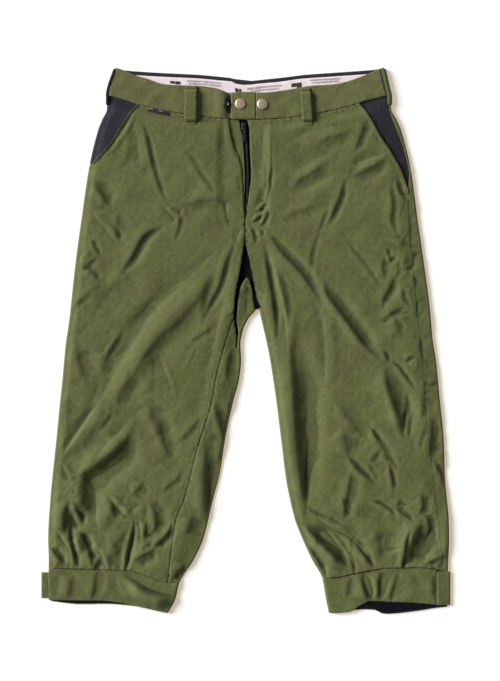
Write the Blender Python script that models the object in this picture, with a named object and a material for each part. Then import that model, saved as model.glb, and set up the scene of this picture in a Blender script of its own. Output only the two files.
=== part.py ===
"""Knee breeches laid flat on their back, waist towards +Y, front up (+Z).

All sizes are in millimetres and become metres when a mesh is made. "Right" and "left" are the
wearer's: the right leg lies at -X. Each leg is a flattened cloth tube: a top run (the front), a
floor run (the back) and rounded turns that join them. Every panel is a patch of that tube.
"""
import math

import bmesh
import bpy
import numpy as np

# ---------------------------------------------------------------- driving sizes
MM = 0.001
SEAM_GAP = 0.3            # between two pieces that a seam joins
END_GAP = 0.6             # between a leg and its waistband or cuff, along the leg
CLOTH = 1.2               # shell fabric
BAND = 2.4                # waistband, two layers and stiffening
CUFF = 2.0                # knee cuff
THIN = 1.0                # tape, lining, gusset and label
TURN = 2.6                # half width of a rounded turn at a leg's edge
FRONT_LEVEL = 4.2         # middle of the front's cloth over the floor
WAIST_LEVEL = 5.2         # the same beside the waistband and the fly
CUFF_LEVEL = 4.7          # the same beside the cuff
POCKET_DROP = 1.7         # how far the pocket facing lies below the front
TAB_RISE = 1.0            # the waist tab lies over the fly
GUSSET_CLEAR = 3.7        # lowest middle of cloth over the gusset or a facing
BACK_CLEAR = 2.3          # lowest middle of cloth over the bare back
UNDER_WRAP = 12.0         # right front turned under its outer edge
INSEAM_WRAP = 10.0        # left front turned under its inner edge
FACING_DEPTH = 22.0       # pocket facing carried on beneath the front
SEAT_ROWS = 14            # rows of faces from waist to crotch
LEG_ROWS = 21             # rows of faces from crotch to cuff
CROTCH_Y = 46.5
SIDE_WAIST_Y, FLY_WAIST_Y = 343.5, 311.0   # ends of the seam under the waistband
BAND_WIDTH = 39.5
SLANT_ROW = 5             # row of the right front where its pocket ends
POCKET_END_Y = 212.0      # where the left pocket's mouth meets the side seam

# ---------------------------------------------------------------- outline tables
# Each leg's edges seen from above. Columns: y, outer x, inner x
OUTLINE_RIGHT = (
    (383, -183.5, -0.5), (343.5, -194.5, -0.5), (326, -194.5, -0.5), (310, -201.5, -0.5),
    (296, -207, -0.5), (246.5, -219, -0.5), (170, -230.5, -0.5), (111, -238.5, 0.5),
    (46.5, -245.5, 14.5), (32.5, -247, 4), (15.5, -249.5, -4), (-5, -252.5, -7.5),
    (-26, -254.5, -6.5), (-54, -257, -9.5), (-82, -260, -17), (-138, -265.5, -29),
    (-180, -270, -35.5), (-222, -274, -46), (-278, -277, -60), (-306, -276, -73),
    (-338.5, -277.5, -93), (-362, -277, -99), (-380.5, -275.5, -109),
)
OUTLINE_LEFT = (
    (383, 194.5, -0.5), (354.5, 201, -0.5), (343.5, 203.5, -0.5), (326, 203.8, -0.5),
    (310, 211.5, -0.5), (296, 217.5, -0.5), (239.5, 231.5, -0.5), (170, 241, -0.5),
    (111, 249.5, 6), (46.5, 258, 18.5), (29.5, 259.5, 22), (2, 262, 28.5),
    (-26, 266.5, 34), (-82, 272, 42.5), (-138, 277.5, 49.5), (-194, 279.5, 56.5),
    (-222, 282, 62), (-250, 284.5, 69), (-278, 285, 80), (-306, 284, 93),
    (-331.5, 283, 107), (-362, 284.5, 112.5), (-380.5, 284.5, 116.5),
)
# Front waistband. Columns: x, top y, bottom y
WAIST_FRONT = (
    (-196.5, 383, 344), (-185, 383, 342.5), (-173, 380, 339), (-152, 371.5, 332),
    (-137, 367, 328), (-120, 361, 324), (-106, 359, 321.5), (-64, 357.5, 315.5),
    (-43, 354.5, 313), (-22, 348, 311), (0.5, 349, 310.5), (23, 348, 311), (55, 351.5, 312.5),
    (90, 357.5, 318), (125, 360, 324), (146, 365, 329.5), (160, 370, 334), (174, 375.5, 338),
    (185, 380, 340.5), (197, 383, 343.5), (207.5, 383, 343.5),
)
# Back waistband. Columns: x, top y
WAIST_BACK = (
    (-196.5, 383), (-185, 383), (-173, 380), (-134, 377), (-106, 375.5), (-64, 373.5),
    (-36, 370), (0.5, 365), (20, 366.5), (48, 369), (76, 373), (132, 377), (185, 381),
    (197, 383), (207.5, 383),
)
# Cuffs. Columns: x, seam y, hem y of the front, hem y of the back
CUFF_RIGHT = (
    (-288, -317.5, -362, -362), (-232, -319, -363, -368.5), (-197, -320, -363.5, -368),
    (-162, -321.5, -369, -370.5), (-134, -330, -375, -375), (-106, -338.5, -380.5, -380.5),
    (-90, -338.5, -380.5, -380.5),
)
CUFF_LEFT = (
    (105, -331.5, -380.5, -380.5), (125, -331, -380.5, -380.5), (146, -327, -378.5, -381),
    (160, -324, -370.5, -382), (175.5, -321, -363.5, -382), (195, -318, -364.5, -383),
    (237, -317, -366.5, -378.5), (265, -319, -368.5, -374), (288, -324, -370.5, -371.5),
)
# Inner edge of the right front: fly, crotch, then inseam. Columns: y, x
RIGHT_FRONT_EDGE = (
    (311, -24), (284.5, -19), (258, -10), (232.5, -5), (205, -3.5), (167, -1.5), (144.5, -1.2),
    (127.5, -4), (100, -8), (72, -13.5), (57.5, -15.5), (32.5, -17), (21.5, -21), (-9.5, -30.5),
    (-54, -42), (-81, -46.5), (-152, -68), (-222, -86.5), (-246.5, -96.5), (-285, -103),
    (-338.5, -109),
)
# Inner edge of the left front from the waist to the crotch. Columns: y, x
LEFT_FRONT_EDGE = (
    (311, 2), (296, 5), (268, 6), (232.5, 7.5), (205, 4.5), (179.5, 1), (167, -0.5),
    (144.5, -0.6), (127.5, 1.5), (116.5, 4.5), (93, 9), (65, 14.5), (46.5, 18.5),
)
# Left side seam, on top of the leg, and edge of the back beside the pocket. Columns: y, x
LEFT_SIDE_SEAM = (
    (343.5, 199.5), (326.5, 200.5), (296, 210.5), (275, 219), (253.5, 224.5), (239.5, 228.5),
    (212, 227.5), (195, 228), (127.5, 232.5), (57.5, 239), (-30, 247.5), (-81, 251),
    (-152, 258.5), (-222, 266.5), (-278, 273.5), (-331.5, 277.5),
)
# Slanted pocket mouths. Columns: y, x
LEFT_POCKET = (
    (343.5, 149), (333.5, 158.5), (312.5, 174), (287.5, 188), (266.5, 202), (242.5, 216),
    (225.5, 223), (212, 227.5),
)
RIGHT_POCKET = (
    (343.5, -141), (332, -152), (321, -162), (300, -176), (278, -190), (261, -204),
    (246.5, -218), (235, -230),
)
# Zip. Columns: y, left edge of the opening, centre, right edge of the opening
ZIP = (
    (311, -9.5, -3.5, 2.5), (296, -7, -1.5, 5), (282, -4, 1, 5), (261, -2.5, 2, 6),
    (232.5, -1, 3, 7.5), (205, -1, 2.5, 5), (179.5, -2, 0, 2), (167, -2.5, -0.5, 1),
)
# Crotch gusset. Columns: y, left x, right x
GUSSET = (
    (147.5, -3, 1), (135, -8, 4.5), (111, -13.5, 13), (90, -16.5, 15.5), (65, -20.5, 17),
    (49.5, -22, 13.5), (32.5, -22, -4), (2, -20.5, -15),
)
# Tip of the right back that folds up over the crotch, as seen from above. Columns: x, y
CROTCH_TIP = ((12, 48.5), (9, 70), (0.5, 89), (-6, 79), (-10, 61))
# Line of the gusset's tail across the right back. Columns: y, x
TAIL_LINE = (
    (46.5, -13), (32.5, -14.5), (20, -13), (7.5, -11.5), (-5, -12), (-26, -17), (-54, -26),
    (-152, -48), (-338, -100),
)
# Centre back seam. Columns: y, x
CENTRE_BACK = ((344, 0.5), (142, 0.5), (86, 6), (46.5, 15.5))

# Largest folds. Columns: half width, height (a trough is negative), then the path's x, y
FOLDS = (
    (20, 3.2, (-26, 147), (-72, 88), (-131, 30), (-170, -19), (-200, -81)),
    (9, -1.7, (-106, 175), (-141, 147), (-166, 108), (-177, 90)),
    (12, 2.0, (-120, 184), (-152, 152), (-180, 118)),
    (8, -1.6, (-149, 310), (-134, 254), (-117, 203), (-96, 168)),
    (9, -1.8, (-22, 125), (-39, 79), (-58, 40)),
    (11, 3.8, (-193, -92), (-221, -123), (-260, -164)),
    (12, -1.9, (-156, -128), (-196, -169), (-242, -191)),
    (15, -1.4, (-112, 69), (-151, 40), (-172, 20)),
    (11, -1.8, (-246, -200), (-252, -229), (-246, -264), (-238, -309)),
    (12, 3.4, (-257, -180), (-243, -208), (-262, -258)),
    (8, -1.8, (-158, -250), (-162, -285), (-170, -318)),
    (9, 3.0, (-147, -240), (-145, -290)),
    (9, 2.6, (-208, -285), (-199, -314)),
    (9, -1.4, (-63, -102), (-96, -142)),
    (9, -1.4, (-124, -112), (-103, -172)),
    (11, -1.9, (31, 132), (52, 49), (66, -29), (73, -128), (80, -225), (84, -252)),
    (20, 3.8, (104, 104), (110, 10), (98, -82), (93, -166), (97, -250)),
    (11, -1.8, (105, 100), (133, 44), (164, 0), (198, -39), (208, -110)),
    (9, -1.6, (142, 231), (124, 182), (100, 152), (86, 90)),
    (9, -1.5, (31, 156), (76, 100), (100, 59)),
    (11, 2.8, (16, 135), (37, 58), (51, -12), (55, -110)),
    (9, -1.5, (195, 254), (156, 230)),
    (8, -1.5, (215, 108), (188, 44)),
    (11, 2.0, (217, 49), (164, 10)),
    (9, -1.4, (117, -67), (159, -120), (174, -133)),
    (9, 2.6, (174, -119), (202, -175), (206, -215)),
    (8, -1.7, (229, -264), (217, -316)),
    (10, -1.6, (90, -264), (146, -317)),
    (9, 3.0, (111, -257), (129, -320)),
    (9, 2.4, (160, -278), (177, -317)),
    (10, 2.4, (209, -264), (205, -313)),
    (8, -1.5, (257, -82), (257, -161), (272, -194)),
)

# Belt loops on the front band. Columns: name, x at the top, x at the foot, width, top y, foot y
FRONT_LOOPS = (
    ("belt_loop_front_right", -76.5, -77, 16.5, 357, 302),
    ("belt_loop_front_left", 83, 87, 14.5, 354, 302),
)
SIDE_LOOP_TOP, SIDE_LOOP_FOOT = 380.5, 331.5

# Hardware
SNAP_RADIUS, SNAP_RIM, SNAP_HEIGHT = 7.3, 8.2, 1.9
BUTTON_RADIUS, BUTTON_HEIGHT = 4.2, 1.7
CHAIN_WIDTH, CHAIN_END_Y = 4.6, 169.0
SLIDER_X, SLIDER_Y = -2.7, 301.0
SLIDER_SIZE = (6.4, 9.6, 3.0)
BAIL_WIDTH, BAIL_REACH, BAIL_WALL, BAIL_HOLE = 2.0, 2.4, 0.9, 1.8
PULL_WIDTH, PULL_LENGTH, PULL_THICK = 5.0, 21.0, 1.0
EYE_WIDTH, EYE_END = 2.9, 3.6

# Colours (linear RGB), roughness, metallic
FINISH = {
    "green": ((0.143, 0.165, 0.063), 0.85, 0.0),
    "charcoal": ((0.040, 0.040, 0.058), 0.80, 0.0),
    "black": ((0.010, 0.009, 0.012), 0.70, 0.0),
    "tape": ((0.830, 0.720, 0.790), 0.75, 0.0),
    "nickel": ((0.400, 0.310, 0.210), 0.35, 1.0),
    "black_metal": ((0.030, 0.030, 0.033), 0.35, 0.8),
    "grey": ((0.250, 0.250, 0.260), 0.70, 0.0),
}


# ---------------------------------------------------------------- curves from the tables
def curve(table, column=1, by=0):
    """A smooth function through one column of a table, with no overshoot between its rows."""
    rows = sorted(table, key=lambda row: row[by])
    at = np.array([row[by] for row in rows], dtype=float)
    value = np.array([row[column] for row in rows], dtype=float)
    step = np.diff(value) / np.diff(at)
    slope = np.empty_like(value)
    slope[0], slope[-1] = step[0], step[-1]
    before, after = step[:-1], step[1:]
    level = before * after <= 0.0
    safe = np.where(level, 1.0, before + after)
    slope[1:-1] = np.where(level, 0.0, 2.0 * before * after / safe)

    def read(t):
        t = np.clip(t, at[0], at[-1])
        i = np.clip(np.searchsorted(at, t) - 1, 0, len(at) - 2)
        width = at[i + 1] - at[i]
        u = (t - at[i]) / width
        rise = value[i + 1] - value[i]
        from_start = u * u * (3.0 - 2.0 * u) * rise
        from_slope = u * (1.0 - u) * ((1.0 - u) * slope[i] - u * slope[i + 1]) * width
        return value[i] + from_start + from_slope

    return read


def ease(t):
    """0 below 0, 1 above 1, smooth between."""
    t = np.clip(t, 0.0, 1.0)
    return t * t * (3.0 - 2.0 * t)


front_top = curve(WAIST_FRONT, 1)
front_waist = curve(WAIST_FRONT, 2)
back_top = curve(WAIST_BACK, 1)
right_front_edge = curve(RIGHT_FRONT_EDGE)
left_front_edge = curve(LEFT_FRONT_EDGE)
left_side_seam = curve(LEFT_SIDE_SEAM)
left_pocket = curve(LEFT_POCKET)
right_pocket = curve(RIGHT_POCKET)
tail_line = curve(TAIL_LINE)
centre_back = curve(CENTRE_BACK)
gusset_left, gusset_right = curve(GUSSET, 1), curve(GUSSET, 2)
zip_left, zip_centre, zip_right = (curve(ZIP, column) for column in (1, 2, 3))


def back_waist(x):
    return back_top(x) - BAND_WIDTH


class Leg:
    """One leg's outline, and the rows that all of its panels share."""

    def __init__(self, outline, cuff, inward):
        self.outer, self.inner = curve(outline, 1), curve(outline, 2)
        self.seam, self.hem, self.back_hem = (curve(cuff, column) for column in (1, 2, 3))
        self.inward = inward
        self.crotch = (FLY_WAIST_Y - CROTCH_Y) / (FLY_WAIST_Y - self.bottom(1.0))
        above = self.crotch * np.arange(SEAT_ROWS) / SEAT_ROWS
        below = self.crotch + (1.0 - self.crotch) * np.arange(LEG_ROWS + 1) / LEG_ROWS
        self.rows = np.concatenate((above, below))

    def across(self, part, y):
        """The x at a part of the way from the outer to the inner edge."""
        return self.outer(y) + part * (self.inner(y) - self.outer(y))

    def bottom(self, part):
        return self.seam(self.across(part, self.seam(self.across(part, -325.0))))

    def row(self, v, x, y, waist, fade):
        """The y of row v at x. The row starts on the waist curve and ends on the cuff."""
        part = np.clip((x - self.outer(y)) / (self.inner(y) - self.outer(y)), 0.0, 1.0)
        straight = SIDE_WAIST_Y + part * (FLY_WAIST_Y - SIDE_WAIST_Y)
        dip = waist(self.across(part, straight)) - straight
        dip = dip * np.clip(1.0 - v / fade, 0.0, 1.0)
        return (straight - END_GAP / 2) * (1.0 - v) + (self.bottom(part) + END_GAP / 2) * v + dip


RIGHT = Leg(OUTLINE_RIGHT, CUFF_RIGHT, 1.0)
LEFT = Leg(OUTLINE_LEFT, CUFF_LEFT, -1.0)


# ---------------------------------------------------------------- height of the cloth
def near_path(x, y, path, half_width):
    """1 on a path, fading to 0 beside it and towards its ends."""
    points = np.array(path, dtype=float)
    lengths = np.hypot(*np.diff(points, axis=0).T)
    total = lengths.sum()
    best = np.full(np.shape(x), 1e9)
    along = np.zeros(np.shape(x))
    start = 0.0
    for (ax, ay), (bx, by), length in zip(points[:-1], points[1:], lengths):
        t = ((x - ax) * (bx - ax) + (y - ay) * (by - ay)) / length ** 2
        t = np.clip(t, 0.0, 1.0)
        away = np.hypot(x - ax - t * (bx - ax), y - ay - t * (by - ay))
        closer = away < best
        best = np.where(closer, away, best)
        along = np.where(closer, start + t * length, along)
        start += length
    ends = ease(along / (0.25 * total)) * ease((total - along) / (0.25 * total))
    return np.exp(-(best / half_width) ** 2) * (0.25 + 0.75 * ends)


def front_height(x, y):
    """Middle of the front's cloth over the floor."""
    below_waist = front_waist(x) - y
    height = FRONT_LEVEL + (WAIST_LEVEL - FRONT_LEVEL) * (1.0 - ease((below_waist - 24) / 40))
    fly = (1.0 - ease((np.abs(x) - 26) / 16)) * ease((y - 150) / 20)
    height = np.maximum(height, FRONT_LEVEL + (WAIST_LEVEL - FRONT_LEVEL) * fly)
    to_cuff = np.where(x < 0, y - RIGHT.seam(x), y - LEFT.seam(x))
    height = height + (CUFF_LEVEL - FRONT_LEVEL) * (1.0 - ease((to_cuff - 6) / 30))
    free = ease((below_waist - 20) / 22) * ease((to_cuff + 6) / 16)
    clear_of_fly = 1.0 - fly
    for half_width, rise, *path in FOLDS:
        height = height + rise * free * clear_of_fly * near_path(x, y, path, half_width)
    over_gusset = (1.0 - ease((np.abs(x) - 36) / 14)) * (1.0 - ease((np.abs(y - 75) - 90) / 20))
    over_facing = ease((y - 170) / 30)
    lowest = BACK_CLEAR + (GUSSET_CLEAR - BACK_CLEAR) * np.maximum(over_gusset, over_facing)
    return np.maximum(height, lowest)


def facing_height(x, y):
    return front_height(x, y) - POCKET_DROP


def band_height(x, y):
    rise = 1.0 - ease((np.abs(x + 3.0) - 20) / 40)
    return WAIST_LEVEL + TAB_RISE * rise * (x > -21.5) + 0.0 * y


def cuff_height(x, y):
    return CUFF_LEVEL + 0.0 * (x + y)


# ---------------------------------------------------------------- patches of the tube
TOP, FLOOR, OUTER, INNER = "top", "floor", "outer", "inner"
PROBE = 0.4


def edge_of(leg, kind, y, thickness):
    """The middle of the cloth at an edge, and the way from there into the leg."""
    if kind == OUTER:
        return leg.outer(y) + leg.inward * thickness / 2, leg.inward
    return leg.inner(y) - leg.inward * thickness / 2, -leg.inward


def place(leg, kind, value, y, height, thickness):
    """A point of the tube: value is x on a run, and degrees (-90 floor, 90 top) in a turn."""
    floor = thickness / 2
    if kind == TOP:
        return np.stack((value, y, height(value, y)), axis=-1)
    if kind == FLOOR:
        return np.stack((value, y, np.full(np.shape(y), floor)), axis=-1)
    edge, into = edge_of(leg, kind, y, thickness)
    half = (height(edge + into * TURN, y) - floor) / 2
    angle = np.radians(value)
    x = edge + into * TURN * (1.0 - np.cos(angle))
    return np.stack((x, y, floor + half * (1.0 + np.sin(angle))), axis=-1)


def outward(leg, kind, value, y, height, thickness):
    """The direction out of the tube at that point."""
    def at(dv, dy):
        return place(leg, kind, value + dv, y + dy, height, thickness)

    along_value = at(PROBE, 0) - at(-PROBE, 0)
    along_y = at(0, PROBE) - at(0, -PROBE)
    normal = np.cross(along_value, along_y)
    normal /= np.linalg.norm(normal, axis=-1, keepdims=True)
    if kind in (TOP, FLOOR):
        wanted = np.array((0.0, 0.0, 1.0 if kind == TOP else -1.0))
    else:
        into = edge_of(leg, kind, y, thickness)[1]
        angle = np.radians(value)
        wanted = np.stack((-into * np.cos(angle), 0.0 * angle, np.sin(angle)), axis=-1)
    flip = np.sign((normal * wanted).sum(axis=-1, keepdims=True))
    return normal * flip


def patch(leg, columns, rows, row_y, height, thickness, bend=None):
    """Middle points and outward directions, [row][column]. A column is (kind, f(y) or angle)."""
    points, normals = [], []
    for index, (kind, value) in enumerate(columns):
        y = SIDE_WAIST_Y + (-325.0 - SIDE_WAIST_Y) * rows
        for _ in range(8):
            if kind in (TOP, FLOOR):
                x = value(y)
            else:
                edge, into = edge_of(leg, kind, y, thickness)
                x = edge + into * TURN * (1.0 - math.cos(math.radians(value)))
            y = row_y(rows, x, y, kind)
        here = value(y) if kind in (TOP, FLOOR) else np.full(len(rows), float(value))
        if bend:
            here, y = bend(index, here, y)
        points.append(place(leg, kind, here, y, height, thickness))
        normals.append(outward(leg, kind, here, y, height, thickness))
    return np.stack(points, axis=1), np.stack(normals, axis=1)


def between(first, last, part):
    """A column a part of the way between two edge functions."""
    return lambda y: first(y) + part * (last(y) - first(y))


def fractions(count, first=0.0):
    return [first + (1.0 - first) * i / count for i in range(1, count + 1)]


# ---------------------------------------------------------------- meshes
def material(name):
    found = bpy.data.materials.get(name)
    if found:
        return found
    colour, roughness, metallic = FINISH[name]
    made = bpy.data.materials.new(name)
    made.use_nodes = True
    shader = made.node_tree.nodes["Principled BSDF"]
    shader.inputs["Base Color"].default_value = (*colour, 1.0)
    shader.inputs["Roughness"].default_value = roughness
    shader.inputs["Metallic"].default_value = metallic
    made.diffuse_color = (*colour, 1.0)
    return made


def add_object(name, finish, vertices, faces, origin=(0.0, 0.0, 0.0)):
    """A mesh object with its origin where it is wanted. Vertices and origin in millimetres."""
    mesh = bpy.data.meshes.new(name)
    mesh.from_pydata([tuple(MM * (c - o) for c, o in zip(v, origin)) for v in vertices], [], faces)
    shape = bmesh.new()
    shape.from_mesh(mesh)
    bmesh.ops.recalc_face_normals(shape, faces=shape.faces)
    shape.to_mesh(mesh)
    shape.free()
    mesh.shade_smooth()
    mesh.set_sharp_from_angle(angle=math.radians(40))
    thing = bpy.data.objects.new(name, mesh)
    thing.location = [MM * o for o in origin]
    thing.data.materials.append(material(finish))
    bpy.context.scene.collection.objects.link(thing)
    return thing


def cloth(name, finish, points, normals, thickness, present=None):
    """A cloth wall about a grid of middle points. present marks the faces that exist."""
    rows, columns = points.shape[:2]
    if present is None:
        present = np.ones((rows - 1, columns - 1), dtype=bool)
    outside = points + normals * thickness / 2
    inside = points - normals * thickness / 2
    number, vertices = {}, []

    def corner(side, j, k):
        if (side, j, k) not in number:
            number[side, j, k] = len(vertices)
            vertices.append((outside if side else inside)[j, k])
        return number[side, j, k]

    def exists(j, k):
        return 0 <= j < rows - 1 and 0 <= k < columns - 1 and present[j, k]

    faces = []
    for j in range(rows - 1):
        for k in range(columns - 1):
            if not present[j, k]:
                continue
            ring = ((j, k), (j, k + 1), (j + 1, k + 1), (j + 1, k))
            faces.append([corner(1, *c) for c in ring])
            faces.append([corner(0, *c) for c in reversed(ring)])
            beyond = ((j - 1, k), (j, k + 1), (j + 1, k), (j, k - 1))
            for side, neighbour in enumerate(beyond):
                if not exists(*neighbour):
                    a, b = ring[side], ring[(side + 1) % 4]
                    faces.append([corner(1, *b), corner(1, *a), corner(0, *a), corner(0, *b)])
    return add_object(name, finish, vertices, faces)


def raised(points, normals, under, thickness):
    """Middle points of a piece that lies on a panel, made from the panel's own points."""
    return points + normals * (under / 2 + SEAM_GAP + thickness / 2)


# ---------------------------------------------------------------- rows of each piece
def front_rows(leg):
    return lambda v, x, y, kind: leg.row(v, x, y, front_waist, 0.17)


def back_rows(leg):
    return lambda v, x, y, kind: leg.row(v, x, y, back_waist, leg.crotch)


def band_rows(top, bottom):
    return lambda v, x, y, kind: top(x) + v * (bottom(x) - top(x))


def cuff_rows(leg):
    def row_y(v, x, y, kind):
        hem = leg.back_hem(x) if kind == FLOOR else leg.hem(x)
        seam = leg.seam(x) - END_GAP / 2
        return seam + v * (hem - seam)
    return row_y


# ---------------------------------------------------------------- leg panels
def right_front():
    def start(y):
        return np.maximum(right_pocket(y), RIGHT.outer(y) + CLOTH / 2 + TURN)

    columns = [(FLOOR, lambda y: RIGHT.outer(y) + UNDER_WRAP)]
    columns += [(OUTER, angle) for angle in (-90, -45, 0, 45)]
    turn = len(columns)
    columns += [(TOP, start), (TOP, lambda y: start(y) + 3.5)]
    columns += [(TOP, between(start, right_front_edge, part)) for part in fractions(14, 0.035)]
    points, normals = patch(RIGHT, columns, RIGHT.rows, front_rows(RIGHT), front_height, CLOTH)
    present = np.ones((len(RIGHT.rows) - 1, len(columns) - 1), dtype=bool)
    present[:SLANT_ROW, :turn] = False
    cloth("front_right", "green", points, normals, CLOTH, present)
    welt = slice(0, SLANT_ROW + 1), slice(turn, turn + 2)
    on_top = raised(points[welt], normals[welt], CLOTH, THIN)
    cloth("pocket_welt_right", "green", on_top, normals[welt], THIN)


def left_front():
    def start(y):
        seam = left_side_seam(y)
        return np.where(y > POCKET_END_Y, np.minimum(left_pocket(y), seam), seam)

    def end(y):
        return np.where(y > CROTCH_Y + 9, left_front_edge(y), LEFT.inner(y) + CLOTH / 2 + TURN)

    columns = [(TOP, start), (TOP, lambda y: start(y) - 6.0)]
    columns += [(TOP, between(start, end, part)) for part in fractions(14, 0.045)]
    top_columns = len(columns)
    columns += [(INNER, angle) for angle in (45, 0, -45, -90)]
    columns += [(FLOOR, lambda y: LEFT.inner(y) + INSEAM_WRAP)]
    points, normals = patch(LEFT, columns, LEFT.rows, front_rows(LEFT), front_height, CLOTH)
    present = np.ones((len(LEFT.rows) - 1, len(columns) - 1), dtype=bool)
    present[:SEAT_ROWS, top_columns - 1:] = False
    cloth("front_left", "green", points, normals, CLOTH, present)
    pocket_rows = int((points[:, 0, 1] > 205).sum())
    welt = slice(0, pocket_rows), slice(0, 2)
    on_top = raised(points[welt], normals[welt], CLOTH, THIN)
    cloth("pocket_welt_left", "green", on_top, normals[welt], THIN)


def right_back():
    def start(y):
        return RIGHT.outer(y) + UNDER_WRAP + SEAM_GAP

    def end(y):
        turn = RIGHT.inner(y) - CLOTH / 2 - TURN
        return np.where(y > CROTCH_Y + 9, centre_back(y) - SEAM_GAP / 2, turn)

    def turn_top(y):
        return RIGHT.inner(y) - CLOTH / 2 - TURN

    def tip_side(y):
        return np.minimum(tail_line(y) + 1.7, turn_top(y) - 1.2)

    def lobe_side(y):
        return np.minimum(tail_line(y) - 1.7, tip_side(y) - 1.6)

    columns = [(FLOOR, start)]
    columns += [(FLOOR, between(start, end, part)) for part in fractions(8)]
    floor_columns = len(columns)
    columns += [(INNER, angle) for angle in (-45, 0, 45)]
    tip = len(columns)
    columns += [(TOP, between(turn_top, tip_side, part)) for part in (0.0, 0.2, 0.5, 0.8, 1.0)]
    columns += [(TOP, lobe_side), (TOP, lambda y: right_front_edge(y) + SEAM_GAP)]

    def bend(index, x, y):
        """Pull the first row of the folded-up part into the crotch's tip."""
        if tip <= index < tip + len(CROTCH_TIP):
            x, y = x.copy(), y.copy()
            x[SEAT_ROWS], y[SEAT_ROWS] = CROTCH_TIP[index - tip]
        return x, y

    points, normals = patch(RIGHT, columns, RIGHT.rows, back_rows(RIGHT), front_height, CLOTH, bend)
    present = np.ones((len(RIGHT.rows) - 1, len(columns) - 1), dtype=bool)
    present[:SEAT_ROWS, floor_columns - 1:] = False
    slit = tip + len(CROTCH_TIP) - 1
    present[SEAT_ROWS:SEAT_ROWS + 3, slit] = False
    present[SEAT_ROWS, slit + 1] = False
    cloth("back_right", "green", points, normals, CLOTH, present)


def left_back():
    def start(y):
        return left_side_seam(y) + SEAM_GAP

    def turn(y):
        return LEFT.outer(y) - CLOTH / 2 - TURN

    def end(y):
        seat = centre_back(y) + SEAM_GAP / 2
        return np.where(y > CROTCH_Y + 28, seat, LEFT.inner(y) + INSEAM_WRAP + SEAM_GAP)

    columns = [(TOP, start), (TOP, turn)]
    columns += [(OUTER, angle) for angle in (45, 0, -45, -90)]
    columns += [(FLOOR, between(turn, end, part)) for part in fractions(8)]
    points, normals = patch(LEFT, columns, LEFT.rows, back_rows(LEFT), front_height, CLOTH)
    cloth("back_left", "green", points, normals, CLOTH)


# ---------------------------------------------------------------- pockets, gusset and fly
def right_facing():
    columns = [(FLOOR, lambda y: RIGHT.outer(y) + UNDER_WRAP)]
    columns += [(OUTER, angle) for angle in (-90, -45, 0, 45)]

    def start(y):
        return RIGHT.outer(y) + CLOTH / 2 + TURN

    def end(y):
        return right_pocket(y) + FACING_DEPTH

    columns += [(TOP, start)] + [(TOP, between(start, end, part)) for part in fractions(4)]
    last = RIGHT.rows[SLANT_ROW] - 0.6 / (SIDE_WAIST_Y + 320)
    rows = np.append(RIGHT.rows[:SLANT_ROW], last)
    points, normals = patch(RIGHT, columns, rows, front_rows(RIGHT), facing_height, CLOTH)
    cloth("pocket_facing_right", "charcoal", points, normals, CLOTH)


def left_facing():
    def start(y):
        return left_side_seam(y) - SEAM_GAP - 0.1

    def end(y):
        return left_pocket(y) - FACING_DEPTH

    columns = [(TOP, start)] + [(TOP, between(start, end, part)) for part in fractions(4)]
    rows = np.linspace(0.0, 0.196, 7)
    points, normals = patch(LEFT, columns, rows, front_rows(LEFT), facing_height, CLOTH)
    cloth("pocket_facing_left", "charcoal", points, normals, CLOTH)


def flat_sheet(name, finish, stations, left, right, low, thickness, across=1):
    """A level cloth sheet between two edge functions. stations are its y values."""
    y = np.array(stations, dtype=float)
    columns = []
    for part in [i / across for i in range(across + 1)]:
        x = left(y) + part * (right(y) - left(y))
        columns.append(np.stack((x, y, np.full(len(y), low + thickness / 2)), axis=-1))
    points = np.stack(columns, axis=1)
    up = np.zeros_like(points)
    up[..., 2] = 1.0
    return cloth(name, finish, points, up, thickness)


def gusset_and_fly():
    over_back = CLOTH + SEAM_GAP
    ys = [row[0] for row in GUSSET]
    flat_sheet("crotch_gusset", "black", ys, gusset_left, gusset_right, over_back, THIN)
    tape_ys = np.linspace(FLY_WAIST_Y - 1.0, 163.0, 14)
    flat_sheet("zip_tape", "black", tape_ys, lambda y: zip_left(y) - 9,
               lambda y: zip_right(y) + 9, over_back, THIN)
    over_tape = over_back + THIN + SEAM_GAP
    flat_sheet("fly_extension", "green", np.linspace(FLY_WAIST_Y - 1.0, 192.0, 12),
               lambda y: zip_left(y) - 24, lambda y: zip_left(y) - 0.4, over_tape, CLOTH)
    chain_top = SLIDER_Y - SLIDER_SIZE[1] / 2 - SEAM_GAP
    flat_sheet("zip_chain", "black_metal", np.linspace(chain_top, CHAIN_END_Y, 16),
               lambda y: zip_centre(y) - CHAIN_WIDTH / 2,
               lambda y: zip_centre(y) + CHAIN_WIDTH / 2, over_tape, CLOTH)


# ---------------------------------------------------------------- waist
def shifted(function, gap):
    return lambda x: function(x) + gap


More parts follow.
